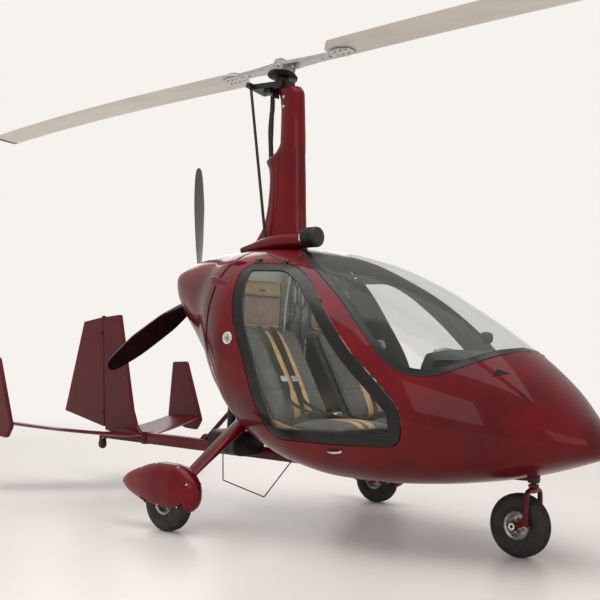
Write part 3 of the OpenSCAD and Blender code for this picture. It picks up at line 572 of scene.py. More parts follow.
def shifted(loop, distance):
    """A closed line of (station, angle) moved over the surface: inwards if distance is above 0."""
    area = sum(a[0] * b[1] - b[0] * a[1] for a, b in zip(loop, loop[1:] + loop[:1]))
    out = []
    n = len(loop)
    for i in range(n):
        here, normal = on_pod(*loop[i])
        along = on_pod(*loop[(i + 1) % n])[0] - on_pod(*loop[i - 1])[0]
        inward = normal.cross(along).normalized() * (-1 if area < 0 else 1)
        ahead = on_pod(loop[i][0], loop[i][1] + 0.01)[0] - on_pod(loop[i][0], loop[i][1] - 0.01)[0]
        turned = 1 if ahead.cross(Vector((0, 1, 0))).dot(normal) < 0 else -1
        out.append(to_pod(here + inward * distance * turned))
    return out


def screen_loop():
    """Edge of the windscreen: along the left side from the roof to the nose, and back on the right."""
    side = [(-0.262, 1.590), (-0.330, 1.572), (-0.492, 1.523), (-0.650, 1.436), (-0.819, 1.334), (-0.950, 1.240), (-1.066, 1.141),
            (-1.150, 1.062), (-1.217, 0.997), (-1.270, 0.955), (-1.330, 0.912), (-1.400, 0.886), (-1.480, 0.880), (-1.560, 0.900),
            (-1.640, 0.942), (-1.690, 0.974), (-1.730, 1.000)]
    side = smooth_path([(a, b, 0) for a, b in side], 5)
    left = [beside(p[0], p[1]) for p in side]
    front = (-1.748, math.pi / 2)
    rear = (-0.250, math.pi / 2)
    return [rear] + left + [front] + [(y, math.pi - q) for y, q in reversed(left)]


DOOR = [(-0.200, 1.468), (-0.520, 1.458), (-0.660, 1.388), (-0.820, 1.257), (-1.070, 1.006), (-1.290, 0.815), (-1.395, 0.712),
        (-1.400, 0.535), (-1.000, 0.522), (-0.585, 0.518), (-0.520, 0.705), (-0.437, 0.930), (-0.300, 1.175)]


def door_loop(side):
    """Outer edge of a door."""
    flat = even(rounded(DOOR, 0.085), 0.016)
    return [beside(p[0], p[1], side) for p in flat]


def circle_loop(y, z, radius, side):
    flat = [(y + radius * math.cos(TURN * i / 40), z + radius * math.sin(TURN * i / 40)) for i in range(40)]
    return [beside(a, b, side) for a, b in flat]


def inside(point, loop):
    """Whether a (station, angle) point lies in a closed loop."""
    x, y = point
    found = False
    j = len(loop) - 1
    for i in range(len(loop)):
        if (loop[i][1] > y) != (loop[j][1] > y):
            if x < (loop[j][0] - loop[i][0]) * (y - loop[i][1]) / (loop[j][1] - loop[i][1]) + loop[i][0]:
                found = not found
        j = i
    return found


HINGE_REAR, HINGE_FRONT = Vector((0.430, -0.220, 1.493)), Vector((0.405, -0.500, 1.469))
HINGE_LINE = (HINGE_FRONT - HINGE_REAR).normalized()
KNUCKLES = (0.045, (HINGE_FRONT - HINGE_REAR).length - 0.045)
_skin = {}


def cut_skin():
    """Cuts the body's surface along every opening once, and sorts its triangles by the piece that they belong to."""
    if _skin:
        return _skin
    settings = bpy.context.scene.gyro_body
    loops = {"screen": screen_loop()}
    loops["screen_clear"] = shifted(loops["screen"], settings.band)
    for word, side in SIDES:
        loops["door_" + word] = door_loop(side)
        loops["gap_" + word] = shifted(loops["door_" + word], -settings.door_gap)
        loops["window_" + word] = shifted(loops["door_" + word], settings.frame_width)
        loops["filler_" + word] = circle_loop(-0.296, 1.039, 0.036, side)
        for n, place in enumerate(KNUCKLES):
            middle = HINGE_REAR + HINGE_LINE * place
            corners = [(middle.x - 0.017, 0.0), (middle.x + 0.075, 0.0)]
            slot_loop = []
            for x, y in ((corners[0][0], -0.022), (corners[0][0], 0.022), (corners[1][0], 0.022), (corners[1][0], -0.022)):
                wide, waist, up, _, power, _ = section(middle.y + y)
                z = waist + up * max(1 - (x / wide) ** power, 0) ** (1 / power)
                slot_loop.append(to_pod(Vector((side * x, middle.y + y, z))))
            loops["knuckle_%s_%d" % (word, n)] = slot_loop
    points, edges = [], []

    def run(line, closed=True):
        start = len(points)
        points.extend(Vector((y, q * STRETCH)) for y, q in line)
        count = len(line)
        edges.extend((start + i, start + (i + 1) % count) for i in range(count if closed else count - 1))

    low, high = -math.pi / 2, 1.5 * math.pi
    around = 132
    stations = [NOSE_END, NOSE - 0.006, NOSE - 0.003, NOSE]
    while stations[-1] < TAIL - 0.045:
        stations.append(stations[-1] + (0.012 if stations[-1] < NOSE + 0.07 else 0.024))
    start = stations[-1]
    stations += [start + (TAIL_END - start) * math.sin(math.pi / 2 * k / 10) for k in range(1, 11)]
    angles = [low + (high - low) * j / around for j in range(around + 1)]
    for y in stations:
        for q in angles:
            points.append(Vector((y, q * STRETCH)))
    run([(NOSE_END, low), (TAIL_END, low), (TAIL_END, high), (NOSE_END, high)])
    run([(SPLIT, low), (SPLIT, high)], False)
    for loop in loops.values():
        run(loop)
    verts, _, faces, _, _, _ = delaunay_2d_cdt(points, edges, [], 0, 1e-6)
    params = [(v.x, v.y / STRETCH) for v in verts]
    spans = {k: (min(p[0] for p in v), max(p[0] for p in v), min(p[1] for p in v), max(p[1] for p in v)) for k, v in loops.items()}

    def within(point, key):
        a, b, c, d = spans[key]
        return a <= point[0] <= b and c <= point[1] <= d and inside(point, loops[key])

    parts = {}
    for face in faces:
        mid = (sum(params[i][0] for i in face) / 3, sum(params[i][1] for i in face) / 3)
        home = "body" if mid[0] < SPLIT else "cowl"
        if within(mid, "screen"):
            home = "screen" if within(mid, "screen_clear") else "band"
        for word, _ in SIDES:
            if within(mid, "gap_" + word):
                home = None
                if within(mid, "door_" + word):
                    home = "window_" + word if within(mid, "window_" + word) else "frame_" + word
            elif within(mid, "filler_" + word) or any(within(mid, "knuckle_%s_%d" % (word, n)) for n in (0, 1)):
                home = None
        if home:
            parts.setdefault(home, []).append(tuple(face))
    _skin.update(params=params, parts=parts, loops=loops)
    return _skin


def skin(name, part, thick, finishes, body, hides=(), extra=(), out=0.0):
    """One piece of the body's surface with its thickness, its inner side and its cut edges."""
    cut = cut_skin()
    params, faces = cut["params"], cut["parts"][part]
    used = sorted({i for f in faces for i in f})
    number = {i: n for n, i in enumerate(used)}
    outer = [on_pod(*params[i], out=out) for i in used]
    count = len(used)
    verts = [tuple(p) for p, n in outer] + [tuple(p - n * thick) for p, n in outer]
    normals = [tuple(n) for p, n in outer] + [tuple(-n) for p, n in outer]
    quads, index = [], []
    edges = {}
    for face in faces:
        a, b, c = (number[i] for i in face)
        flat = (Vector(verts[b]) - Vector(verts[a])).cross(Vector(verts[c]) - Vector(verts[a]))
        if flat.dot(Vector(normals[a]) + Vector(normals[b]) + Vector(normals[c])) < 0:
            b, c = c, b
        quads.append((a, b, c))
        index.append(0)
        quads.append((a + count, c + count, b + count))
        index.append(1)
        for edge in ((a, b), (b, c), (c, a)):
            edges[edge] = True
    for a, b in list(edges):
        if (b, a) in edges:
            continue
        qa, qb = params[used[a]][1], params[used[b]][1]
        if abs(qa - qb) < 1e-6 and (qa < -math.pi / 2 + 1e-4 or qa > 1.5 * math.pi - 1e-4):
            continue
        base = len(verts)
        verts += [verts[a], verts[b], verts[b + count], verts[a + count]]
        normals += [(0, 0, 0)] * 4
        quads.append((base + 1, base, base + 3, base + 2))
        index.append(2 if len(finishes) > 2 else 0)
    for v, f in extra:
        base = len(verts)
        verts += v
        normals += [(0, 0, 0)] * len(v)
        quads += [tuple(base + i for i in face) for face in f]
        index += [0] * len(f)
    mesh = bpy.data.meshes.new(name)
    mesh.from_pydata(verts, [], quads)
    for material in finishes:
        mesh.materials.append(material)
    mesh.polygons.foreach_set("material_index", index)
    mesh.polygons.foreach_set("use_smooth", [True] * len(quads))
    mesh.normals_split_custom_set_from_vertices(normals)
    thing = bpy.data.objects.new(name, mesh)
    bpy.context.scene.collection.objects.link(thing)
    settle(thing, body, hides)
    return thing


def bead(loop, radius, out=0.0, count=8):
    """A round bead along a closed (station, angle) line."""
    line = even([on_pod(y, q, out)[0] for y, q in loop], 0.02)
    rings = []
    n = len(line)
    for i in range(n):
        _, normal = on_pod(*to_pod(line[i]))
        along = (line[(i + 1) % n] - line[i - 1]).normalized()
        across = along.cross(normal).normalized()
        rings.append([line[i] + across * (radius * a) + normal * (radius * b) for a, b in oval(1, 1, 2, count)])
    verts, faces = loft(rings, False)
    last = (n - 1) * count
    faces += [(last + j, last + (j + 1) % count, (j + 1) % count, j) for j in range(count)]
    return verts, faces


def seam(line, width=0.003, out=0.0007):
    """A flat strip along an open (station, angle) line, just proud of the surface."""
    spots = even([on_pod(y, q)[0] for y, q in line], 0.02, False)
    verts = []
    for i, p in enumerate(spots):
        here, normal = on_pod(*to_pod(p), out=out)
        along = (spots[min(i + 1, len(spots) - 1)] - spots[max(i - 1, 0)]).normalized()
        across = along.cross(normal).normalized()
        taper = 0.3 if i in (0, len(spots) - 1) else 1.0
        verts += [tuple(here + across * width / 2 * taper), tuple(here - across * width / 2 * taper)]
    return verts, [(2 * i, 2 * i + 1, 2 * i + 3, 2 * i + 2) for i in range(len(spots) - 1)]


class GYRO_OT_body(bpy.types.Operator):
    """Body shell and engine cowl with their joints"""

    bl_idname = "gyro.body"
    bl_label = "Body"

    def execute(self, context):
        s = context.scene.gyro_body
        paint = [FINISHES["sprayed_enamel"], FINISHES["cabin_lining"], FINISHES["sprayed_enamel"]]
        skin("body_skin", "body", s.shell, paint, "airframe", ("fuselage_shell",))
        skin("cowl_skin", "cowl", s.shell, paint, "airframe", ("engine_cowl",))
        joints = [seam([(SPLIT, -math.pi / 2 + TURN * k / 90) for k in range(91)], 0.0035)]
        for _, side in SIDES:
            aft = [(0.560, 1.330), (0.470, 1.180), (0.380, 1.060), (0.290, 0.930), (0.180, 0.800), (0.060, 0.665)]
            joints.append(seam([beside(a, b, side) for a, b in aft], 0.006))
        piece("body_joints", joints, FINISHES["joint_shadow"], "airframe", solid=False, sharp=180)
        return {"FINISHED"}


class GYRO_OT_glazing(bpy.types.Operator):
    """Windscreen with its black band, and both doors with frame, window, seals and hinges"""

    bl_idname = "gyro.glazing"
    bl_label = "Glazing and doors"

    def execute(self, context):
        s = context.scene.gyro_body
        loops = cut_skin()["loops"]
        acrylic, black = FINISHES["cast_acrylic"], FINISHES["black_enamel"]
        skin("windscreen_sheet", "screen", s.glazing, [acrylic, acrylic], "airframe", ("windscreen",))
        skin("windscreen_band", "band", s.glazing + 0.004, [black, black], "airframe")
        rubber = FINISHES["hose_rubber"]
        seals = [bead(loops["screen"], 0.0032, 0.0005), bead(loops["screen_clear"], 0.0022, -0.001)]
        piece("windscreen_seals", seals, rubber, "airframe", sharp=180)
        for word, side in SIDES:
            body = "door_" + word
            knuckles = []
            for place in KNUCKLES:
                ends = [HINGE_REAR + HINGE_LINE * (place + d) for d in (-0.0150, 0.0150)]
                knuckles.append(tube([(side * p.x, p.y, p.z) for p in ends], 0.009, 20))
                arm = [HINGE_REAR + HINGE_LINE * place + Vector(d) for d in ((0.004, 0, -0.003), (0.014, 0, -0.016), (0.024, 0, -0.028))]
                knuckles.append(tube([(side * p.x, p.y, p.z) for p in arm], 0.012, 4, [(1, 0.45), (-1, 0.45), (-1, -0.45), (1, -0.45)]))
            skin(body + "_frame_skin", "frame_" + word, 0.012, [black, FINISHES["cabin_lining"], black], body,
                 ("door_frame_" + word,), knuckles)
            skin(body + "_window_sheet", "window_" + word, s.glazing, [acrylic, acrylic], body, ("door_window_" + word,), out=-0.001)
            lips = [bead(loops["window_" + word], 0.0026, -0.0005), bead(shifted(loops["door_" + word], 0.004), 0.0036, -0.010)]
            piece(body + "_seals", lips, rubber, body, sharp=180)
            y, z = -1.010, 0.487
            p, n = on_pod(*beside(y, z, side))
            line = [on_pod(*beside(y + d, z - d * 0.05, side), out=h)[0] for d, h in ((-0.045, 0.001), (-0.034, 0.010), (0.0, 0.014), (0.030, 0.010), (0.040, 0.001))]
            piece(body + "_latch", [tube(smooth_path(line, 4), 0.0062, 12)], FINISHES["polished_steel"], "airframe", sharp=60)
        return {"FINISHED"}


def carved(shape, cutters, rounding=0.0):
    """A closed form with other closed forms cut out of it."""
    made = []
    for n, (verts, faces) in enumerate([shape] + list(cutters)):
        mesh = bpy.data.meshes.new("carving")
        mesh.from_pydata(verts, [], faces)
        work = bmesh.new()
        work.from_mesh(mesh)
        bmesh.ops.recalc_face_normals(work, faces=work.faces)
        work.to_mesh(mesh)
        work.free()
        thing = bpy.data.objects.new("carving", mesh)
        bpy.context.scene.collection.objects.link(thing)
        made.append(thing)
    for cutter in made[1:]:
        cut = made[0].modifiers.new("cut", "BOOLEAN")
        cut.operation, cut.solver, cut.object = "DIFFERENCE", "EXACT", cutter
    bpy.context.view_layer.update()
    result = bpy.data.meshes.new_from_object(made[0].evaluated_get(bpy.context.evaluated_depsgraph_get()))
    out = [tuple(v.co) for v in result.vertices], [tuple(p.vertices) for p in result.polygons]
    for thing in made:
        old = thing.data
        bpy.data.objects.remove(thing)
        bpy.data.meshes.remove(old)
    bpy.data.meshes.remove(result)
    if not out[0]:
        raise RuntimeError("a carved form came out empty")
    return out


def dress(names, material, bevel=0.0):
    """Gives CAD nodes that stay in view their finish, and a fine round on their edges."""
    for name in names:
        node = frame["nodes"][name]
        if not node.material_slots:
            node.data.materials.append(FINISHES[material])
        for holder in node.material_slots:
            holder.material = FINISHES[material]
        if bevel:
            edge = node.modifiers.new("edge", "BEVEL")
            edge.width, edge.segments, edge.limit_method = bevel, 2, "ANGLE"
            edge.angle_limit = math.radians(40)
            edge.harden_normals = True


# ---- Mast, intake and rotor ----

MAST = [
    (1.480, -0.247, 0.560, 0.151), (1.560, -0.238, 0.360, 0.149), (1.640, -0.228, 0.215, 0.146), (1.700, -0.219, 0.160, 0.140),
    (1.758, -0.214, 0.122, 0.136), (1.894, -0.205, 0.092, 0.130), (2.026, -0.198, 0.084, 0.126), (2.103, -0.193, 0.092, 0.124),
    (2.161, -0.190, 0.120, 0.122), (2.204, -0.187, 0.042, 0.120), (2.268, -0.183, 0.002, 0.118), (2.450, -0.172, 0.004, 0.108),
    (2.560, -0.165, 0.020, 0.100), (2.600, -0.140, 0.040, 0.092)]
HUB = Vector((0, 0, 2.75))
HEAD_TURN = Matrix.Rotation(math.radians(8), 4, "Y") @ Matrix.Rotation(math.radians(3.5), 4, "X")
HEAD = Matrix.Translation(HUB) @ HEAD_TURN
PARKED = math.radians(6.73)


def mast_ring(z, grow=0.0):
    _, front, rear, thick = smooth_table(MAST, z)
    middle, deep = (front + rear) / 2, (rear - front) / 2 + grow
    out = []
    for i in range(48):
        a = TURN * i / 48
        s, c = math.sin(a), math.cos(a)
        narrow = 1.0 - 0.25 * max(c, 0.0) ** 2
        out.append(Vector((math.copysign((thick / 2 * narrow + grow) * abs(s) ** (2 / 2.3), s), middle + deep * c, z)))
    return out


class GYRO_OT_mast(bpy.types.Operator):
    """Streamlined mast, air intake and filter, control rods and drive shaft"""

    bl_idname = "gyro.mast"
    bl_label = "Mast"

    def execute(self, context):
        paint = FINISHES["sprayed_enamel"]
        heights = [1.48 + (2.60 - 1.48) * k / 90 for k in range(91)]
        rings = [mast_ring(z) for z in heights]
        top = [p.lerp(Vector((0, -0.05, 2.60)), 0.06) + Vector((0, 0, 0.002)) for p in rings[-1]]
        piece("mast_skin", [loft(rings + [top])], paint, "airframe", ("mast",), sharp=50)
        lines = []
        for side in (1, -1):
            for y, low, high in ((-0.02, 1.66, 2.18),):
                strip = []
                for k in range(26):
                    z = low + (high - low) * k / 25
                    ring = mast_ring(z, 0.0008)
                    near = min((p for p in ring if p.x * side > 0), key=lambda p: abs(p.y - (y - 0.02 * k / 25)))
                    strip += [tuple(near + Vector((0, -0.0016, 0))), tuple(near + Vector((0, 0.0016, 0)))]
                lines.append((strip, [(2 * i, 2 * i + 1, 2 * i + 3, 2 * i + 2) for i in range(25)]))
        collar = []
        for z in (1.648, 1.652):
            collar.append([p for p in mast_ring(z, 0.0008)])
        lines.append(loft(collar, False))
        piece("mast_joints", lines, FINISHES["joint_shadow"], "airframe", solid=False, sharp=180)

        x, z = -0.132, 1.628
        line = smooth_path([(x, -0.330, z), (x, -0.24, z), (x, -0.13, z - 0.002), (x + 0.006, 0.0, z - 0.012), (x + 0.014, 0.1, z - 0.024), (x + 0.02, 0.195, z - 0.034)], 6)
        radii = [0.048 - 0.026 * max((p.y + 0.13) / 0.33, 0) ** 1.5 for p in line]
        lip = lathe([(0.040, -0.336), (0.0505, -0.336), (0.052, -0.331), (0.0505, -0.322), (0.047, -0.322)], (x, 0, z), "Y", 40)
        piece("intake_duct_skin", [tube(line, radii, 36), lip], paint, "airframe", ("intake_duct",), sharp=50)
        ribs = [(0.0, -0.332), (0.050, -0.332), (0.054, -0.338), (0.054, -0.350)]
        for k in range(11):
            y = -0.352 - k * 0.0072
            ribs += [(0.0600, y), (0.0600, y - 0.0034), (0.0572, y - 0.0046), (0.0572, y - 0.0060)]
        ribs += [(0.0600, -0.432), (0.0575, -0.440), (0.050, -0.4455), (0.030, -0.4465), (0.0, -0.4465)]
        clamp = lathe([(0.0542, -0.3380), (0.0556, -0.3380), (0.0556, -0.3480), (0.0542, -0.3480)], (x, 0, z + 0.012), "Y", 40)
        piece("air_filter_foam", [lathe(ribs, (x, 0, z + 0.017), "Y", 56, False), clamp], [FINISHES["moulded_abs"], FINISHES["polished_steel"]], "airframe",
              ("air_filter",), picks=[0, 1], sharp=40)

        dress(["rotor_head"], "powder_coated_steel", 0.002)
        dress(["control_rods"], "powder_coated_steel")
        dress(["prerotator_shaft"], "hose_rubber")
        hose = smooth_path([(0.0, 0.092, 2.60), (0.004, 0.094, 2.53), (0.002, 0.098, 2.46), (-0.002, 0.100, 2.36), (0.0, 0.094, 2.26), (0.0, 0.086, 2.17)], 6)
        braid = tube([p for p in hose if p.z > 2.47], 0.0165, 18)
        rubber = tube([p for p in hose if p.z < 2.50], 0.0150, 18)
        bolts = []
        for xx in (-0.055, 0.055):
            for yy in (0.205, 0.218):
                bolts += bolt(HEAD @ Vector((xx, yy, -0.116)), HEAD_TURN @ Vector((0, 0, 1)), 0.006, 0.006)
        for zz in (2.48, 2.54):
            bolts += bolt((-0.050, -0.05, zz), (-1, 0, 0), 0.007, 0.006) + bolt((0.050, -0.05, zz), (1, 0, 0), 0.007, 0.006)
        steel = FINISHES["polished_steel"]
        piece("drive_shaft_sleeve", [braid, rubber] + bolts, [steel, FINISHES["hose_rubber"]], "airframe", picks=[0, 1] + [0] * len(bolts), sharp=40)
        return {"FINISHED"}


class GYRO_OT_rotor(bpy.types.Operator):
    """Rotor blades, hub bar, teeter block, drive ring and bolts"""

    bl_idname = "gyro.rotor"
    bl_label = "Rotor"

    def execute(self, context):
        s = context.scene.gyro_rotor
        low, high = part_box("rotor_blades")
        radius = 4.2
        blades, plates, caps = [], [], []
        for turn in (0, math.pi):
            pose = HEAD @ Matrix.Rotation(turn - PARKED, 4, "Z") @ Matrix.Scale(-1, 4, Vector((1, 0, 0)))

            def ring(r, grow=0.0, shrink=1.0):
                full = min(max((r - 0.44) / 0.12, 0.0), 1.0)
                chord = (0.09 + (s.chord - 0.09) * full) * shrink + 2 * grow
                thick = (0.024 if r > 0.5 else 0.027) * (0.55 + 0.45 * shrink) + 2 * grow
                lift = r * math.tan(math.radians(0.8)) - 0.110 * (r / radius) ** 2.5
                out = []
                for i in range(44):
                    a = TURN * i / 44
                    c, b = math.cos(a), math.sin(a)
                    out.append(pose @ Vector((chord * (c / 2 - 0.23), r, lift + thick / 2 * b * (0.62 + 0.52 * c + 0.14 * c * c) * (1.0 if b > 0 else 0.8))))
                return out

            spans = [0.445, 0.47, 0.50, 0.53, 0.56] + [0.56 + (radius - 0.075 - 0.56) * k / 48 for k in range(1, 49)]
            blades.append(loft([ring(r) for r in spans]))
            caps.append(loft([ring(radius - 0.076, 0.0003), ring(radius - 0.03, 0.0003), ring(radius - 0.012, 0, 0.97), ring(radius - 0.003, 0, 0.86), ring(radius, 0, 0.6)]))
            for face in (1, -1):
                z = 0.500 * math.tan(math.radians(0.8)) + face * 0.0155
                outline = rounded([(-0.060, 0.470), (0.028, 0.470), (0.036, 0.560), (0.012, 0.640), (-0.050, 0.640), (-0.076, 0.560)], 0.02)
                plates.append(moved(plate(outline, z - 0.0025, z + 0.0025, "Z"), pose))
                for k in range(s.bolts):
                    at = pose @ Vector((-0.045 if k % 2 else 0.004, 0.492 + 0.023 * k, z + face * 0.0025))
                    plates += bolt(at, pose.to_3x3() @ Vector((0, 0, face)), 0.0065, 0.006)
        piece("rotor_blade_skins", blades, FINISHES["blade_paint"], "rotor", ("rotor_blades",), sharp=60)
        piece("blade_tip_caps", caps, FINISHES["satin_enamel"], "rotor", sharp=60)
        piece("blade_root_plates", plates, FINISHES["anodised_aluminium"], "rotor", bevel=0.0008, sharp=40)

        bar = Matrix.Rotation(-PARKED, 4, "Z")
        outline = [(-0.048, -0.06), (-0.048, 0.06), (-0.030, 0.30), (-0.028, 0.50), (0.028, 0.50), (0.030, 0.30), (0.048, 0.06), (0.048, -0.06),
                   (0.030, -0.30), (0.028, -0.50), (-0.028, -0.50), (-0.030, -0.30)]
        hub = [moved(plate(rounded(outline, 0.01, 4), -0.012, 0.012, "Z"), HEAD @ bar)]
        picks = [0]
        for y in (-0.43, -0.36, -0.13, -0.08, 0.08, 0.13, 0.36, 0.43):
            for face in (1, -1):
                parts = bolt(HEAD @ bar @ Vector((0, y, 0.012 * face)), HEAD_TURN @ Vector((0, 0, face)), 0.009, 0.009)
                hub += parts
                picks += [1] * len(parts)
        for side in (1, -1):
            hub.append(moved(plate(rounded([(-0.052, -0.052), (0.052, -0.052), (0.040, 0.034), (-0.040, 0.034)], 0.014), side * 0.050 - 0.005, side * 0.050 + 0.005, "X"),
                             HEAD @ bar))
            picks.append(0)
        pin = [moved(lathe([(0.0, -0.066), (0.011, -0.066), (0.011, 0.066), (0.0, 0.066)], (0, 0, -0.012), "X", 32, False), HEAD @ bar)]
        hub += pin
        picks.append(1)
        block_shape = moved(block((-0.042, -0.042, -0.046), (0.042, 0.042, 0.028)), HEAD @ bar)
        hub.append(block_shape)
        picks.append(0)
        piece("rotor_hub_bar", hub, [FINISHES["anodised_aluminium"], FINISHES["polished_steel"]], "rotor", ("rotor_hub",), bevel=0.0022, sharp=40, picks=picks)

        teeth = []
        for z, r, depth in ((-0.078, 0.086, 0.0), (-0.077, 0.094, 0.005), (-0.058, 0.094, 0.005), (-0.057, 0.088, 0.0)):
            teeth.append([HEAD @ Vector(((r - depth * (k % 2)) * math.cos(TURN * k / 144), (r - depth * (k % 2)) * math.sin(TURN * k / 144), z)) for k in range(144)])
        dome = moved(lathe([(0.0, -0.058), (0.078, -0.058), (0.084, -0.050), (0.078, -0.044), (0.050, -0.040), (0.036, -0.036), (0.0, -0.036)], (0, 0, 0), "Z", 64, False), HEAD)
        spindle = moved(lathe([(0.0, -0.148), (0.016, -0.148), (0.016, -0.076), (0.0, -0.076)], (0, 0, 0), "Z", 40, False), HEAD)
        piece("drive_ring", [loft(teeth), dome, spindle], [FINISHES["powder_coated_steel"], FINISHES["satin_enamel"]], "rotor", picks=[0, 1, 0], sharp=30)
        return {"FINISHED"}


# ---- Propeller ----

PROP = [(0.040, 0.34, 44, 36), (0.100, 0.46, 42, 32), (0.160, 0.64, 38, 26), (0.280, 0.86, 32, 21), (0.400, 0.98, 26, 18), (0.650, 1.00, 18, 13),
        (0.880, 0.74, 13, 9), (0.960, 0.54, 11.6, 7), (0.990, 0.36, 11.1, 5), (1.000, 0.16, 11, 3)]


class GYRO_OT_propeller(bpy.types.Operator):
    """Three-blade pusher propeller with its hub"""

    bl_idname = "gyro.propeller"
    bl_label = "Propeller"

    def execute(self, context):
        centre, reach, chord = Vector((0, 0.705, 1.315)), 0.86, 0.132
        blades = []
        for k in range(3):
            pose = Matrix.Translation(centre) @ Matrix.Rotation(math.radians(-3 + 120 * k), 4, "Y")
            rings = []
            for j in range(61):
                t = 0.045 + 0.955 * (j / 60) ** 0.9
                _, wide, angle, thick = smooth_table(PROP, t)
                a0 = math.radians(angle)
                ring = []
                for i in range(36):
                    a = TURN * i / 36
                    c, b = math.cos(a), math.sin(a)
                    x = wide * chord * (c / 2 - 0.06 * max(t - 0.7, 0) / 0.3)
                    y = thick / 2000 * b * (0.7 + 0.35 * c) * (1.15 if b > 0 else 0.7)
                    ring.append(pose @ Vector((x * math.cos(a0) - y * math.sin(a0), x * math.sin(a0) + y * math.cos(a0), t * reach)))
                rings.append(ring)
            blades.append(loft(rings))
        piece("propeller_blade_skins", blades, FINISHES["lacquered_carbon"], "propeller", ("propeller_blades",), sharp=60)
        hub = [lathe([(0.0, -0.365), (0.026, -0.365), (0.026, -0.075), (0.034, -0.060), (0.060, -0.046), (0.068, -0.040), (0.068, 0.034), (0.062, 0.044), (0.040, 0.047),
                      (0.040, 0.060), (0.034, 0.067), (0.0, 0.067)], centre, "Y", 72, False)]
        picks = [0]
        for k in range(3):
            pose = Matrix.Translation(centre) @ Matrix.Rotation(math.radians(-3 + 120 * k), 4, "Y")
            hub.append(moved(lathe([(0.0, 0.03), (0.030, 0.03), (0.030, 0.082), (0.026, 0.088), (0.0, 0.088)], (0, 0, 0), "Z", 32, False), pose))
            picks.append(0)
        for k in range(6):
            a = TURN * (k + 0.5) / 6
            parts = bolt(centre + Vector((0.053 * math.sin(a), 0.044, 0.053 * math.cos(a))), (0, 1, 0), 0.0075, 0.008)
            hub += parts
            picks += [1] * len(parts)
        piece("propeller_hub_block", hub, [FINISHES["powder_coated_steel"], FINISHES["polished_steel"]], "propeller", ("propeller_hub",), bevel=0.0012, sharp=40, picks=picks)
        return {"FINISHED"}


# ---- Tail ----


